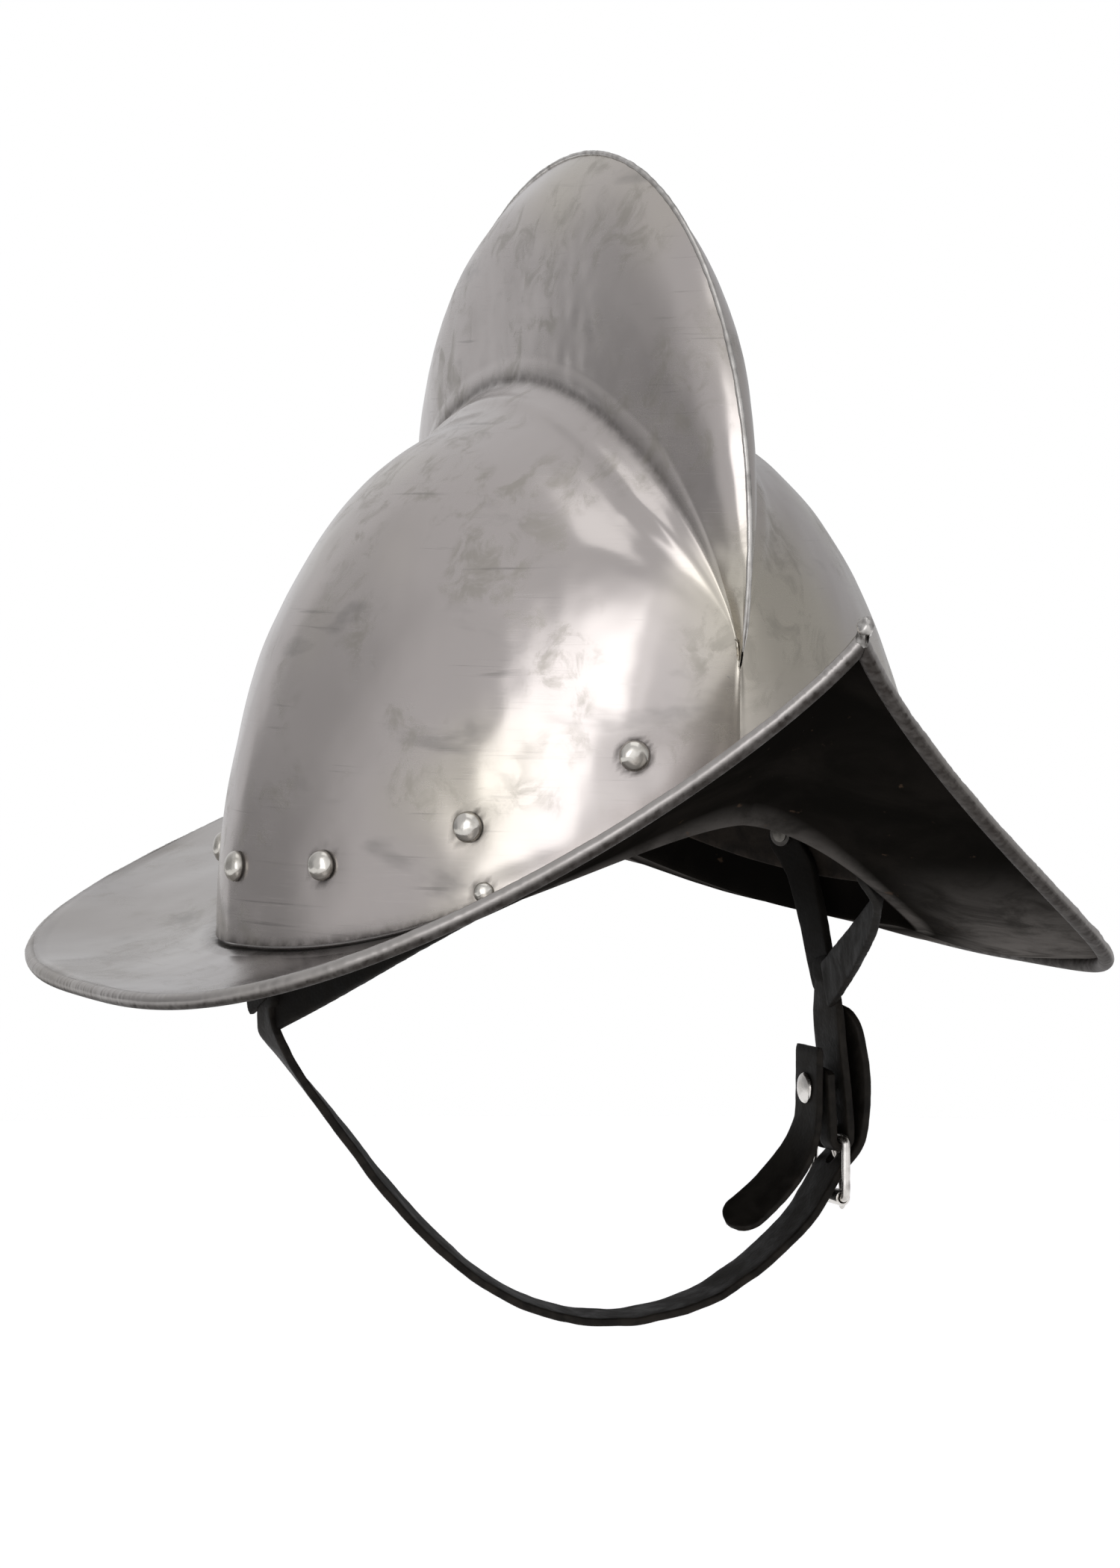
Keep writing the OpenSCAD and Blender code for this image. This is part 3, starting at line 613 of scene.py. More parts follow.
def torus_faces(n, m):
    """Faces of a ring of n sections of m points, closed both ways."""
    i, j = np.meshgrid(np.arange(n), np.arange(m), indexing="ij")
    i, j = i.ravel(), j.ravel()
    i2, j2 = (i + 1) % n, (j + 1) % m
    return np.stack([i * m + j, i2 * m + j, i2 * m + j2, i * m + j2], 1).tolist()


def lathe(profile, sides=40, hollow=False):
    """Points of a turned form from (radius, height) pairs, and its faces; a hollow one has a closed profile."""
    profile = np.asarray(profile, float)
    w = full_turn(sides)
    r = profile[:, :1]
    pts = np.stack([r * np.cos(w), r * np.sin(w), np.repeat(profile[:, 1:], sides, 1)], -1)
    return pts.reshape(-1, 3), (torus_faces if hollow else tube_faces)(len(profile), sides)


class Pile:
    """Collects several closed forms into one piece."""

    def __init__(self):
        self.points, self.faces, self.values, self.count = [], [], {}, 0

    def add(self, points, faces, **values):
        self.faces += [[int(v) + self.count for v in f] for f in faces]
        self.points.append(points)
        self.count += len(points)
        for key, value in values.items():
            self.values.setdefault(key, []).append(np.broadcast_to(value, (len(points),)))

    def build(self, name, body, mat, replaces=()):
        values = {k: np.concatenate(v) for k, v in self.values.items()}
        return make(name, np.vstack(self.points), self.faces, body, mat, replaces, None, values)


def specks(points, depth, size, seed, base=0.0, waves=14):
    """Patchy dirt between 0 and 1."""
    return np.clip(base + depth * ripple(points, size, seed, waves), 0, 1)


# comb seam: a filed bead with small nicks
t = np.linspace(2, 178, 420)
p, q = ridge(t), ridge(t + 0.5) - ridge(t - 0.5)
rise_dir = unit(vec(0, -q[:, 2], q[:, 1]))
path = p * np.array([0, 1.0, 1.0]) + rise_dir * 0.35
pile = Pile()
radius = 0.78 + 0.06 * ripple(path, 7, 5) + 0.03 * ripple(path, 2.2, 6)
radius[:6] *= np.linspace(0.2, 1, 6)
radius[-6:] *= np.linspace(1, 0.2, 6)
bead = sweep(path, radius, 12, (1, 0, 0))
pile.add(bead, tube_faces(len(path), 12), dirt=specks(bead, 0.25, 4, 7))
pile.build("comb-seam-bead", "helmet", WELD_STEEL, ["comb_seam"])


# ---- brim halves with rolled edge
BRIM_RIBS, ROLL_RIBS, ROLL_POINTS = 250, 1150, 22
BRIM_SHEET, ROLL_SHEET = 0.9, 0.75
COLLAR_STEPS = (1, 0.8, 0.6, 0.4, 0.2, 0.05)
BEND_STEPS = ((0, 0.3), (0.1, 0.75), (0.5, 1.1), (1.2, 1.25), (2.2, 1.38), (3.4, 1.5))  # reach, drop


def brim_half(name, node, flip_x):
    """Collar inside the skull, bend below its edge and the flat of the brim out to the roll."""
    n = BRIM_RIBS
    ts = station(np.arange(n), n - 1)
    s = SHEET + GAP
    fc = np.degrees(np.arcsin(np.minimum(0.8, COLLAR / length(crown(ts, s) - seam(ts, s)))))
    c, r = seam(ts, s), rim(ts)
    out = unit((r - c) * np.array([1.0, 1, 0]))
    bend = c + np.array([0, 0, -0.2])
    rows = [dome(ts, fc * k + 2, s) for k in COLLAR_STEPS]
    rows.append(mix(bend, dome(ts, 2.0, s), 0.5))
    rows += [bend + out * reach + np.array([0, 0, -drop]) for reach, drop in BEND_STEPS]
    first = len(rows)
    ks = np.r_[np.linspace(0.12, 0.94, 44), 0.965, 0.985, 1.0]
    for k in ks:
        low = -0.9 - 2.4 * math.sin(math.pi * k) + 0.9 * k
        rows.append(mix(bend, r, k) + np.array([0, 0, low * (1 - smooth((k - 0.94) / 0.06))]))
    g = np.stack(rows, 1)
    m = g.shape[1]
    nn = normals(g)
    if nn[n // 2, 30, 2] < 0:
        nn = -nn
    k = np.r_[np.zeros(first), ks]  # 0 at the skull to 1 at the roll
    fade = (smooth(k / 0.12) * smooth((1 - k) / 0.06))[None, :]
    wave = uneven(g, flip_x, BRIM_SEED, (0.5, 75), (0.14, 30), (0.03, 10))
    g = g + nn * (wave * (fade * inside(n)))[..., None]
    inner = g - nn * BRIM_SHEET
    for part in (g, inner):
        part[..., 0] = np.minimum(part[..., 0], -0.12)
        part[0, :, 0] = part[-1, :, 0] = -0.01
    # dirt and painted shade in the bend under the skull's edge, and dirt where the flat meets the roll
    dirt = 0.8 * bell(np.arange(m), first - 3, 2.2) + 0.30 * smooth((k - 0.965) / 0.03)
    # underside worn grey where it is low and near the edge, and along the bend
    near = np.broadcast_to(smooth((k - 0.05) / 0.45) * 0.95, (n, m)) * smooth((28 - g[..., 2]) / 38)
    worn = np.clip(near + 0.5 * bell(k, 0.0, 0.03) * (np.arange(m) > first - 4), 0, 1)
    sheet(name, [BRIM_STEEL, PAINT], [node], g, inner, faces_inward(g, nn[n // 2, 30], n // 2, 30),
          flip_x, {"dirt": (dirt, 0.0), "worn": (0.0, worn)})


def rim_roll(name, flip_x):
    """The edge of the brim rolled round its wire, with the nicks of the roller along it."""
    n, m = ROLL_RIBS, ROLL_POINTS
    ts = np.interp(np.linspace(0, 1, n), np.linspace(0, 1, 600), station(np.arange(600), 599))
    mid, od, dd = roll_frame(ts)
    a = np.radians(np.linspace(-14, 306, m))
    nick = 0.035 * ripple(mid, 3.4, ROLL_SEED, 20) + 0.045 * ripple(mid, 1.5, ROLL_SEED + 1, 20)
    nick = nick + 0.12 * ripple(mid, 22, ROLL_SEED + 2)
    ring_dir = -dd[:, None] * np.cos(a)[None, :, None] + od[:, None] * np.sin(a)[None, :, None]
    g = mid[:, None] + ring_dir * (ROLL_R + 0.04 + nick[:, None] * bell(a, 0.9, 1.1)[None, :])[..., None]
    inner = mid[:, None] + ring_dir * (ROLL_R - ROLL_SHEET)
    g[..., 0], inner[..., 0] = np.minimum(g[..., 0], -0.05), np.minimum(inner[..., 0], -0.05)
    # dark below, spots all round and a thin line where the roll meets the brim
    under = smooth((np.degrees(a) - 70) / 50)[None, :] * 0.95
    spots = specks(g.reshape(-1, 3), 0.5, 2.2, ROLL_SEED + 3, waves=20).reshape(n, m) * 0.2
    dirt = np.clip(under + spots * (0.4 + under) + 0.30 * bell(np.degrees(a), -10, 14)[None, :], 0, 1)
    sheet(name, [ROLL_STEEL], (), g, inner, faces_inward(g, ring_dir[n // 2, 8], n // 2, 8),
          flip_x, {"dirt": (dirt, 1.0)}, 60)


ROLL_STEEL = steel("rolled-edge-steel", (0.37, 0.352, 0.338), (0.37, 0.35, 0.328), 0.30, mottle=0.3,
                   streaks=0.0, patchy=0.9)
brim_half("brim-right", "brim_right_half", False)
brim_half("brim-left", "brim_left_half", True)
rim_roll("rolled-edge-right", False)
rim_roll("rolled-edge-left", True)
for name in ("rim_wire_right", "rim_wire_left", "rivet_washers", "anchor_washers"):
    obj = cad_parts[name]
    obj.data.materials.clear()
    obj.data.materials.append(DARK_STEEL)


# ---- welds and rivets
def add_blob(pile, centre, size, seed, dirt_seed, depth, base):
    """Adds a small lump of weld metal."""
    rings, sides = 20, 28
    a = np.linspace(0.06, math.pi - 0.06, rings)[:, None]
    w = full_turn(sides)
    d = np.stack([np.sin(a) * np.cos(w), np.sin(a) * np.sin(w), np.repeat(np.cos(a), sides, 1)], -1).reshape(-1, 3)
    lumps = 1 + 0.10 * ripple(d * 10, 14, seed) + 0.05 * ripple(d * 10, 6, seed + 1)
    pts = centre + d * np.asarray(size) * lumps[:, None]
    pile.add(pts, tube_faces(rings, sides), dirt=specks(pts, depth, 3, dirt_seed, base))


for name, node, t, s, seed in (("peak-weld-front", "front_peak_weld", 0.0, -1, 61),
                               ("peak-weld-rear", "rear_peak_weld", 180.0, 1, 66)):
    p = rim(t)
    pile = Pile()
    add_blob(pile, np.array([0, p[1] + s * 2.0, p[2] + 0.6]), (2.0, 2.4, 2.6), seed, seed, 0.5, 0.0)
    add_blob(pile, np.array([0, p[1] + s * 0.6, p[2] - 2.2]), (1.7, 2.0, 2.4), seed + 3, seed, 0.4, 0.6)
    pile.build(name, "helmet", WELD_STEEL, [node])


def rivet_form(r, shank, seed):
    """Hammered round head, shank and peened end; +Z points out of the skull."""
    s = r / 5.0
    low = [(0.5, -shank - 0.75), (1.6, -shank - 0.6), (2.3, -shank - 0.25), (2.3, -shank + 0.02),
           (1.55, -shank + 0.05), (1.55, -0.5), (4.5 * s, -0.45), (4.9 * s, -0.25), (5.02 * s, 0.15),
           (5.0 * s, 0.55 * s)]
    a = np.radians(np.linspace(6, 87, 16))
    high = [(5.0 * s * math.cos(v), (0.55 + 3.05 * math.sin(v)) * s) for v in a]
    pts, faces = lathe(low + high, 44)
    top = smooth(pts[:, 2] / 1.2)
    d = 0.05 * ripple(pts, 4.5, seed) + 0.02 * ripple(pts, 1.8, seed + 1)
    pts = pts + unit(pts + np.array([0, 0, 2.0])) * (d * top)[:, None]
    # darker on the shank and at the foot of the head: dirt, and painted shade where the head sits on the skull
    grime_and_shade = np.where(pts[:, 2] < 0.35 * s, 0.9, 0.35 * np.exp(-((pts[:, 2] - 0.3) / 0.5) ** 2))
    return pts, faces, grime_and_shade


def place(points, centre, axis):
    """The points turned so that their +Z lies along the axis, and moved to the centre."""
    z = unit(np.asarray(axis, float))
    x = unit(np.cross([0, 0, 1.0] if abs(z[2]) < 0.9 else [0, 1.0, 0], z))
    return np.asarray(centre) + points @ np.stack([x, np.cross(z, x), z], 1).T


RIVET_R, ANCHOR_R = 4.1, 2.8
SHANK, YOKE_SHANK, ANCHOR_SHANK = 7.6, 9.7, 6.8  # the yoke rivets also pass through the yoke


def add_rivet(pile, t, h, sign, r, shank, seed):
    """Adds a rivet t degrees from the front and h above the seam, on the right (-1) or left (1)."""
    pts, faces, grime_and_shade = rivet_form(r, shank, seed)
    flip = np.array([-sign, 1, 1.0])
    pile.add(place(pts, skin(t, h) * flip, skin_n(t, h) * flip), faces, dirt=grime_and_shade)


pile = Pile()
for sign in (-1, 1):
    for i, t in enumerate(RIVET_AT):
        add_rivet(pile, t, RIVET_H, sign, RIVET_R * (1 + 0.015 * math.sin(7 * i + sign)),
                  YOKE_SHANK if i == YOKE_RIVET else SHANK, 80 + 2 * i + sign)
pile.build("rivets", "helmet", RIVET_STEEL, ["lining_rivets"])
pile = Pile()
for sign in (-1, 1):
    add_rivet(pile, ANCHOR_AT, ANCHOR_H, sign, ANCHOR_R, ANCHOR_SHANK, 120 + sign)
pile.build("anchor-rivets", "helmet", RIVET_STEEL, ["front_anchor_rivets"])


# ---- leather lining
BAND_OFF = SHEET + 0.9 + 2 * GAP + 0.3
LOBE_OFF, LOBE_T, LACE_R, LACE_Z = BAND_OFF + LEATHER + GAP, 1.8, 36.0, DOME_H - 30


def around(t, h, off):
    """Point at angle t of 360 round the inside, h above the seam, off under the skin."""
    t = np.asarray(t, float) % 360
    a = np.where(t > 180, 360 - t, t)
    p = skin(a, h, np.asarray(off, float))
    return p * np.stack([np.where(t > 180, -1.0, 1.0), np.ones_like(t), np.ones_like(t)], -1)


def rounded(w, th, corner, crown_up):
    """Section of a strap: (across, through) pairs round a rectangle with rounded corners."""
    a, b, flats = w / 2 - corner, th / 2 - corner, 9
    pts = []
    for sx, sy, start in ((1, 1, 0), (-1, 1, 90), (-1, -1, 180), (1, -1, 270)):
        for k in range(4):
            v = math.radians(start + 30 * k)
            pts.append((sx * a + corner * math.cos(v), sy * b + corner * math.sin(v)))
        if sx * sy > 0:
            for k in range(1, flats):
                x = sx * a * (1 - 2 * k / flats)
                pts.append((x, sy * (th / 2 + crown_up * (1 - (x / max(a, 0.01)) ** 2))))
    return np.array(pts)


BAND_W, BAND_H, BAND_STEPS = 23.0, 23.5, 300
sec = rounded(BAND_W, LEATHER, 0.7, 0.1)
ts = np.arange(BAND_STEPS) * 1.2
circle = 100 * np.cos(np.radians(ts)), 100 * np.sin(np.radians(ts))
pts = []
for x, y in sec:
    sag = 0.28 * ripple(np.stack([*circle, np.full(BAND_STEPS, x * 0.6)], 1), 34, 71)
    pts.append(around(ts, BAND_H + x, BAND_OFF + LEATHER / 2 + 0.15 - y + sag * 0.5))
pts = np.stack(pts, 1).reshape(-1, 3)
edge = np.broadcast_to(np.abs(sec[:, 0]) > 10.6, (BAND_STEPS, len(sec))).ravel().astype(float)
make("lining-band", pts, torus_faces(BAND_STEPS, len(sec)), "helmet", LINER_LEATHER,
     ["lining_band"], None, {"edge": edge})

LOBES, LOBE_H = 8, 31.0


def lobe_point(k, u, v, o):
    """Point of lobe k: u across it, v from the band up to the lace, o outwards from its inner side."""
    def foot(share):
        return around(45.0 * k + 2 + 41 * share, LOBE_H, LOBE_OFF + o)

    a, am = foot(u), foot(0.5 + (u - 0.5) * 0.7)
    gm = np.arctan2(am[..., 1] - MID_Y, am[..., 0])
    c = vec(np.cos(gm) * (LACE_R + 1.5), MID_Y + np.sin(gm) * (LACE_R + 1.5), LACE_Z - o)
    mid = vec(am[..., 0] * 0.84, MID_Y + (am[..., 1] - MID_Y) * 0.8, LACE_Z - 12 - o)
    return bow(a, mid, c, v[..., None])


for k in range(LOBES):
    n, m = 30, 44
    u, v = np.meshgrid(np.linspace(0, 1, n), np.linspace(0, 1, m), indexing="ij")
    thick = LOBE_T * (0.35 + 0.65 * (1 - np.abs(2 * u - 1) ** 9) ** 0.5 * (1 - np.abs(2 * v - 1) ** 14) ** 0.5)
    pucker = 0.55 * np.sin(u * 6.28 * 4 + k) * smooth((v - 0.55) / 0.45) + 0.35 * np.sin(v * 3.14)
    base = lobe_point(k, u, v, np.full_like(u, LOBE_T / 2))
    wave = 0.35 * ripple(base.reshape(-1, 3), 30, 91 + k).reshape(n, m)
    mid_o = LOBE_T / 2 + pucker * 0.7 + wave * smooth(v / 0.2) + 0.15
    rub = np.clip((np.abs(2 * u - 1) ** 10) + np.abs(2 * v - 1) ** 16, 0, 1)
    sheet(f"liner-lobe-{k + 1}", [LINER_LEATHER], [f"liner_lobe_{k + 1}"],
          lobe_point(k, u, v, mid_o - thick / 2), lobe_point(k, u, v, mid_o + thick / 2), False, False,
          {"edge": (rub, rub)}, 50)

STITCHES = 13
pile = Pile()
for k in range(LOBES):
    for i in range(STITCHES):
        u = np.array([0.06 + 0.88 * (i + d) / STITCHES for d in (0.12, 0.26, 0.4, 0.54, 0.68)])
        path = lobe_point(k, u, np.full(5, 0.035), np.array([1.75, 2.05, 2.15, 2.05, 1.75]) + 0.12)
        pile.add(sweep(path, [0.2, 0.34, 0.36, 0.34, 0.2], 8), tube_faces(5, 8))
pile.build("liner-stitches", "helmet", THREAD)

# the lace: a ring of three-strand cord
LACE_STEPS, LACE_SIDES, LACE_TURNS = 720, 18, 24
w = full_turn(LACE_STEPS)
path = vec(LACE_R * np.cos(w), MID_Y + LACE_R * np.sin(w), LACE_Z - 1 + 0.25 * np.sin(8 * w))
phi = full_turn(LACE_SIDES)
r = 1.02 + 0.17 * np.cos(3 * (phi[None, :] - w[:, None] * LACE_TURNS))
pts = sweep(path, r, LACE_SIDES, closed=True)
make("liner-lace", pts, torus_faces(LACE_STEPS, LACE_SIDES), "helmet", LACE, ["liner_lace"])


# ---- straps
def spline(nodes, per=10):
    """Smooth curve through the nodes."""
    p = np.asarray(nodes, float)
    q = np.vstack([2 * p[0] - p[1], p, 2 * p[-1] - p[-2]])
    out = []
    for i in range(1, len(q) - 2):
        k = np.linspace(0, 1, per, endpoint=False)[:, None]
        a, b, c, d = q[i - 1:i + 3]
        bend = (2 * a - 5 * b + 4 * c - d) * k * k + (3 * b - a - 3 * c + d) * k ** 3
        out.append(0.5 * (2 * b + (c - a) * k + bend))
    return np.vstack(out + [p[-1:]])


def lengths(path):
    """Distance along the path at each of its points."""
    return np.r_[0, np.cumsum(np.linalg.norm(np.diff(path, axis=0), axis=1))]


def even(path, step, *others):
    """The path, and any lists along it, at even steps."""
    s = lengths(path)
    n = max(int(s[-1] / step), 4)
    at = np.linspace(0, s[-1], n)
    pick = lambda v: np.stack([np.interp(at, s, col) for col in np.asarray(v, float).T], 1)
    return [pick(path)] + [pick(v) if np.ndim(v) > 1 else np.interp(at, s, v) for v in others] + [at]


def strap(path, across, width, th, seed, round_start=0.0, round_end=0.0, wave=0.12):
    """Points, faces and edge wear of a leather strap along a path, its width lying along across."""
    s = lengths(path)
    tg = unit(np.gradient(path, axis=0))
    across = unit(across - tg * (across * tg).sum(-1, keepdims=True))
    nd = unit(np.cross(tg, across))
    width = np.broadcast_to(width, (len(path),)).astype(float)
    for reach, dist in ((round_start, s), (round_end, s[-1] - s)):
        if reach:
            k = np.clip(dist / reach, 0, 1)
            width *= np.sqrt(np.clip(1 - (1 - k) ** 2, 0.02, 1))
    base = rounded(10.0, th, min(0.55, th * 0.3), 0.06)  # a section 10 mm wide, scaled to the width
    thick = np.full(len(path), 1.0)
    thick[0] = thick[-1] = 0.55
    thick[1] = thick[-2] = 0.9
    x = base[None, :, 0] / 5.0 * (width / 2)[:, None]
    y = base[None, :, 1] * thick[:, None]
    pts = path[:, None] + across[:, None] * x[..., None] + nd[:, None] * y[..., None]
    flat = pts.reshape(-1, 3)
    flat = flat + np.repeat(nd * (wave * ripple(path, 16, seed))[:, None], len(base), 0)
    flat = flat + 0.035 * np.stack([ripple(flat, 3.5, seed + i) for i in (1, 2, 3)], 1)
    wear = np.broadcast_to(smooth((np.abs(base[:, 0]) - 4.2) / 0.6), (len(path), len(base))).ravel()
    return flat, tube_faces(len(path), len(base)), wear


def strap_piece(name, node, form):
    pts, faces, wear = form
    return make(name, pts, faces, "chin_strap", STRAP_LEATHER, [node], None, {"edge": wear})


def twisted(path, degrees):
    """Width directions of a strap along a path in the plane y = STRAP_Y, turned about the path."""
    turn = np.radians(degrees)[:, None]
    flat_dir = np.broadcast_to([0, 1.0, 0], path.shape)
    return flat_dir * np.cos(turn) + np.cross(unit(np.gradient(path, axis=0)), flat_dir) * np.sin(turn)


def punch(obj, pts, faces):
    """Cuts a closed form, in mm, out of a piece."""
    cutter = make("cutter", pts, faces, None, obj.data.materials[0])
    mod = obj.modifiers.new("punch", "BOOLEAN")
    mod.operation, mod.solver, mod.object = "DIFFERENCE", "EXACT", cutter
    dg = bpy.context.evaluated_depsgraph_get()
    mesh = bpy.data.meshes.new_from_object(obj.evaluated_get(dg))
    obj.modifiers.clear()
    obj.data = mesh
    bpy.data.objects.remove(cutter)


STRAP_Y, YOKE_X, YOKE_Z, BAR_X, BAR_Z, ROLLER_Z, BAR_R = 8.0, 85.0, -20.0, 86.0, -63.0, -80.0, 1.25
FOOT = np.array([-YOKE_X, STRAP_Y, YOKE_Z + 4])


def yoke_leg(q, n0, c, w, seed):
    """One leg of a yoke: flat on the skull from q[0] to q[1], then hanging free down to c."""
    q = np.array(q)
    d = unit(q[1] - q[0])
    b = q[1] + d * np.linalg.norm(c - q[1]) * 0.12
    path = np.vstack([np.linspace(q[0], q[1], 8)[:-1], bow(q[1], b, c, np.linspace(0, 1, 60)[:, None])])
    m = smooth(np.r_[np.zeros(7), np.linspace(0, 1, 60)])[:, None]
    nr = unit(mix(np.broadcast_to(n0, path.shape), np.array([-1.0, 0, 0]), m))
    path, nr, _ = even(path, 1.0, nr)
    tg = unit(np.gradient(path, axis=0))
    wide = w * (1 + 0.38 * smooth(np.linspace(-0.25, 1.05, len(path))))
    return strap(path, np.cross(nr, tg), wide, LEATHER, seed, w / 2, 0.0)


FRONT_LEG_W, REAR_LEG_W, KNOT_W = 9.5, 10.0, 14.5
for name, node, sign in (("yoke-right", "yoke_right", 1.0), ("yoke-left", "yoke_left", -1.0)):
    flip = np.array([sign, 1, 1])
    pile = Pile()
    t0, t1 = ANCHOR_AT, RIVET_AT[YOKE_RIVET]
    fa = [skin(t0 + a, ANCHOR_H + b, 4.6) for a, b in ((-4.6, 1.9), (1.8, -0.8))]
    ra = [skin(t1 + a, RIVET_H + b, 7.7) for a, b in ((1.0, 3.2), (-2.9, -9.5))]
    tail = np.array([0, 0, -3.6])
    zs = np.linspace(-11.4, -20.2, 10)
    for pts, faces, wear in (
            yoke_leg(fa, skin_n(t0, ANCHOR_H), FOOT + [0.9, -1.8, 0] + tail, FRONT_LEG_W, 130),
            yoke_leg(ra, skin_n(t1, RIVET_H), FOOT + [-0.9, 3.0, 0] + tail, REAR_LEG_W, 134),
            strap(vec(-YOKE_X, STRAP_Y, zs), np.tile([0, 1.0, 0], (10, 1)), KNOT_W, 2.6, 138, 3.0, 3.0, 0.05)):
        pile.add(pts * flip, faces, edge=wear)
    pile.build(name, "helmet", YOKE_LEATHER, [node])

# long strap: (x, z, twist, width) from the right yoke under the chin and up behind the buckle
STRAP_NODES = [
    (-85, -14.5, 0, 9.0), (-85, -20.5, 0, 10.5), (-84.6, -24, 0, 12.5), (-83.8, -26.8, 0, 14.5),
    (-82, -30, 4, 16.0), (-78, -36, 10, STRAP_W), (-66, -51, 16, STRAP_W), (-51, -70, 18, STRAP_W),
    (-35, -87, 16, STRAP_W), (-16, -101.5, 10, STRAP_W), (6, -110, 4, STRAP_W), (28, -111, 0, STRAP_W),
    (49, -105.5, 0, STRAP_W), (66, -95, 0, STRAP_W), (77, -85, 0, STRAP_W), (82, -78, 0, STRAP_W),
    (86, -72, 0, STRAP_W), (90.7, -66.6, 0, STRAP_W), (92.4, -60, 6, STRAP_W), (92.2, -46, 13, STRAP_W),
    (89.8, -33, 16, STRAP_W), (88.2, -25.5, 12, STRAP_W)]
curve = spline(STRAP_NODES, 12)
path, tw, w, _ = even(vec(curve[:, 0], STRAP_Y, curve[:, 1]), 1.1, curve[:, 2], curve[:, 3])
form = strap(path, twisted(path, tw), w, LEATHER, 140, 0.0, 8.5, 0.15)
long_strap = strap_piece("long-strap", "long_strap", form)
# the slot for the prong, an oval across the strap where it leaves the roller
SLOT_TILT, SLOT_R, SLOT_HALF, SLOT_SIDES = math.radians(130), 1.7, 1.6, 28
axis = np.array([math.sin(SLOT_TILT), 0, math.cos(SLOT_TILT)])
slot_dir = np.array([math.cos(SLOT_TILT), 0, -math.sin(SLOT_TILT)])
hole = []
for end in (-4.5, 4.5):
    for v in range(SLOT_SIDES):
        a = 2 * math.pi * v / SLOT_SIDES
        reach = SLOT_R * math.cos(a) + (SLOT_HALF if math.cos(a) > 0 else -SLOT_HALF)
        centre = np.array([88.3, STRAP_Y, -69.3]) + axis * end
        hole.append(centre + slot_dir * reach + np.array([0, SLOT_R * math.sin(a), 0]))
punch(long_strap, np.array(hole), tube_faces(2, SLOT_SIDES))

# buckle strap: down from the left yoke, round the bar and back up
fold = BAR_R + 0.3 + LEATHER / 2
arc = [(BAR_X + fold * math.cos(v), BAR_Z + fold * math.sin(v)) for v in np.radians(np.linspace(0, -180, 25))]
down = [(YOKE_X, -14.5), (YOKE_X + 0.1, -22), (86.0, -34), (BAR_X + fold - 0.9, -50), (BAR_X + fold - 0.1, -59)]
back_up = [(BAR_X - fold, -59), (82.9, -52), (82.4, -43)]
line = np.vstack([spline(down + arc[:1], 14)[:-1], np.array(arc), spline(arc[-1:] + back_up, 10)[1:]])
path, _ = even(vec(line[:, 0], STRAP_Y, line[:, 1]), 0.8)
w = np.interp(path[:, 2], [-30, -26, -21, -17, -14.5], [17.0, 16.0, 13.0, 10.5, 9.5])
form = strap(path, np.broadcast_to([0, 1.0, 0], path.shape), w, LEATHER, 150, 0.0, 2.0, 0.06)
buckle_strap = strap_piece("buckle-strap", "buckle_strap", form)
corners = ((-1.5, -58.4), (1.5, -58.4), (1.5, -70), (-1.5, -70))
slot = np.array([[x, STRAP_Y + y, z] for x in (80.5, 91.5) for y, z in corners])
punch(buckle_strap, slot, [[0, 1, 2, 3], [7, 6, 5, 4], [0, 4, 5, 1], [1, 5, 6, 2], [2, 6, 7, 3], [3, 7, 4, 0]])

# guard flap on the inner side of the buckle
FLAP_X, PIN_Z = 79.4, -49.0
a, b, c = (np.array([x, STRAP_Y, z]) for x, z in ((FLAP_X, -54.0), (FLAP_X - 0.4, -72.0), (54.0, -87.0)))
path = np.vstack([np.linspace([FLAP_X, STRAP_Y, -37.0], a, 16)[:-1], bow(a, b, c, np.linspace(0, 1, 40)[:, None])])
path, _ = even(path, 0.9)
w = np.interp(path[:, 2], [-86, -70, -54, -37], [14.5, 15.5, 15.0, 15.0])
across = twisted(path, np.interp(path[:, 2], [-86, -72, -58], [-26.0, -16.0, 0.0]))
strap_piece("buckle-flap", "buckle_flap", strap(path, across, w, LEATHER * 0.85, 160, 0.0, 6.5, 0.05))
for obj in (long_strap, buckle_strap):
    obj.parent = None
    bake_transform(obj)

# ---- buckle
def nickel_piece(name, body, node, pts, faces, dirt):
    make(name, pts, faces, body, NICKEL, [node], None, {"dirt": dirt})


head = [(0.2, -1.15), (2.0, -1.12), (3.4, -0.98), (4.1, -0.72), (4.4, -0.35), (4.35, -0.05), (4.1, 0.02),
        (1.2, 0.02), (1.2, 11.3), (2.4, 11.4), (2.45, 11.9), (1.8, 12.15), (0.3, 12.2)]
pts, faces = lathe(head, 44)
pts = place(pts, [FLAP_X - 1.25, STRAP_Y, PIN_Z], [1.0, 0, 0])
nickel_piece("flap-rivet-head", "chin_strap", "flap_rivet", pts, faces, specks(pts, 0.25, 4, 170))

half = STRAP_W / 2 + 2
corners, turn = [], 1.9
for cy, cz, start in ((half - turn, BAR_Z - turn, 90), (half - turn, ROLLER_Z + turn, 0),
                      (-half + turn, ROLLER_Z + turn, -90), (-half + turn, BAR_Z - turn, -180)):
    for v in np.radians(np.linspace(start, start - 90, 9)):
        corners.append((BAR_X, STRAP_Y + cy + turn * math.cos(v), cz + turn * math.sin(v)))
path, _ = even(np.array(corners + corners[:1]), 0.7)
path = path[:-1]
pts = sweep(path, BAR_R + 0.02 * ripple(path, 5, 171), 16, (1, 0, 0), True)
nickel_piece("buckle-frame-wire", "chin_strap", "buckle_frame", pts, torus_faces(len(path), 16),
             specks(pts, 0.3, 5, 172))

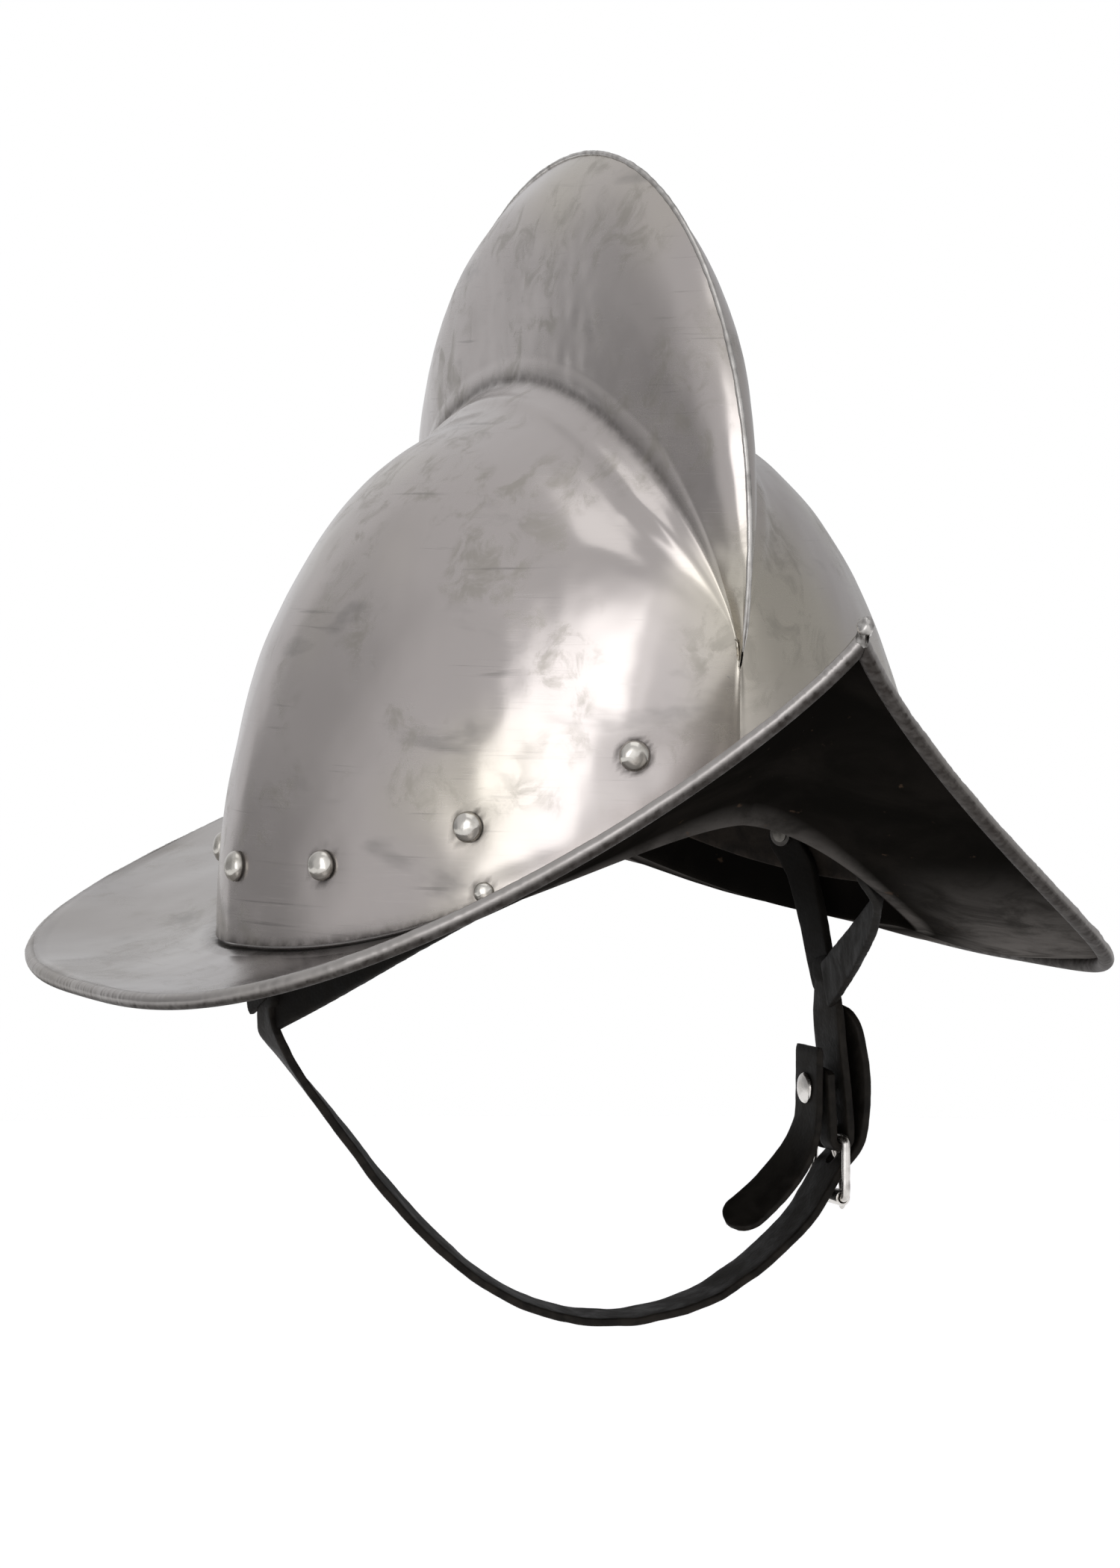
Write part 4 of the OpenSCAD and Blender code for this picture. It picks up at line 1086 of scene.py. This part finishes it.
tube = [(2.3, -8.3), (2.3, 8.3), (2.18, 8.7), (1.95, 8.85), (1.6, 8.8),
        (1.42, 8.5), (1.42, -8.5), (1.6, -8.8), (1.95, -8.85), (2.18, -8.7)]
pts, faces = lathe(tube, 40, True)
nickel_piece("buckle-roller-tube", "roller", "buckle_roller",
             place(pts, [BAR_X, STRAP_Y, ROLLER_Z], [0, 1.0, 0]), faces, specks(pts, 0.2, 4, 173))

pile = Pile()
v = full_turn(40)
eye = vec(BAR_X + 2.3 * np.cos(v), STRAP_Y, BAR_Z + 2.3 * np.sin(v))
pile.add(sweep(eye, 0.92, 12, (0, 1, 0), True), torus_faces(40, 12), dirt=0.1)
line = spline([[87.2, -65.0], [87.9, -68], [89.6, -73], [90.1, -79], [89.9, -84.4]], 10)
path = vec(line[:, 0], STRAP_Y, line[:, 1])
radius = np.full(len(path), 1.1)
radius[-5:] = [1.08, 1.04, 0.95, 0.75, 0.35]
pile.add(sweep(path, radius, 14, (0, 1, 0)), tube_faces(len(path), 14), dirt=0.08)
pile.build("buckle-prong-wire", "prong", NICKEL, ["buckle_prong"])


# ---- studio
# one soft light overhead, in front and to the wearer's right
AZIMUTH, ELEVATION = math.radians(-40), math.radians(80)
away = Vector((math.sin(AZIMUTH) * math.cos(ELEVATION), -math.cos(AZIMUTH) * math.cos(ELEVATION),
               math.sin(ELEVATION)))
lamp = bpy.data.lights.new("overhead", "AREA")
lamp.shape, lamp.size, lamp.size_y, lamp.energy = "RECTANGLE", 1.4, 1.4, 4.0
obj = bpy.data.objects.new("overhead", lamp)
bpy.context.scene.collection.objects.link(obj)
obj.location = Vector((-0.03, -0.02, 0.06)) + away * 1.8
obj.rotation_euler = away.to_track_quat("Z", "Y").to_euler()
obj.visible_camera = False

# The studio as a sky, by direction in degrees (azimuth 0 in front, -90 at the wearer's right).
# It is pale all round and brighter in front, with a tall window on the right, dark gaps behind that
# and a darker side on the left.
world = bpy.data.worlds.new("studio")
bpy.context.scene.world = world
world.use_nodes = True
tree = world.node_tree
tree.nodes.clear()
way = add(tree, "ShaderNodeSeparateXYZ", {0: add(tree, "ShaderNodeTexCoord").outputs["Generated"]}).outputs
az = times(calc("ARCTAN2", way["X"], times(way["Y"], -1.0)), 180 / math.pi)
el = times(calc("ARCSINE", way["Z"], 0.0), 180 / math.pi)


def zone(value, lo, hi, soft_lo, soft_hi):
    """1 between lo and hi, falling off softly outside them."""
    return times(ramp(value, lo - soft_lo, lo), ramp(value, hi, hi + soft_hi, 1.0, 0.0))


total = 0.76
# strength, azimuth from and to, softness at each end, elevation from and to, softness at each end
for strength, az_lo, az_hi, soft_a, soft_b, el_lo, el_hi, soft_c, soft_d in (
        (0.36, -31, 15, 14, 45, -40, 20, 20, 45),
        (0.34, -43, -32, 3, 8, -15, 30, 12, 25),
        (1.75, -68, -44, 3, 6, -4, 22, 8, 25),
        (-0.26, -154, -117, 1.5, 22, -30, 16, 20, 30),
        (-0.13, -154, -118, 1.5, 14, -60, 3, 5, 10),
        (-0.06, -181, -157, 1, 3, -10, 10, 10, 12),
        (-0.27, 75, 150, 35, 20, -30, 40, 20, 30)):
    patch = times(zone(az, az_lo, az_hi, soft_a, soft_b), zone(el, el_lo, el_hi, soft_c, soft_d))
    total = plus(times(patch, strength), total)
seen = add(tree, "ShaderNodeLightPath").outputs["Is Camera Ray"]
room = add(tree, "ShaderNodeBackground", {"Color": (0.99, 0.985, 1.0, 1), "Strength": total})
paper = add(tree, "ShaderNodeBackground", {"Color": (1, 1, 1, 1), "Strength": 1.0})
both = add(tree, "ShaderNodeMixShader", {0: seen, 1: room.outputs[0], 2: paper.outputs[0]})
add(tree, "ShaderNodeOutputWorld", {0: both.outputs[0]})

floor_mat, bsdf, p = material("pale-floor")
for key, value in (("Roughness", 0.9), ("Base Color", (0.82, 0.82, 0.82, 1)), ("Emission Color", (1, 1, 1, 1)),
                   ("Emission Strength", 0.36)):
    wire(bsdf, key, value)
# the floor, a disc well below the helmet
FLOOR_R, FLOOR_DROP = 2600, 250
w = full_turn(96)
pts = vec(FLOOR_R * np.cos(w), FLOOR_R * np.sin(w), CAD_LO[2] / MM - FLOOR_DROP)
floor = make("studio-floor", pts, [list(range(96))], None, floor_mat)
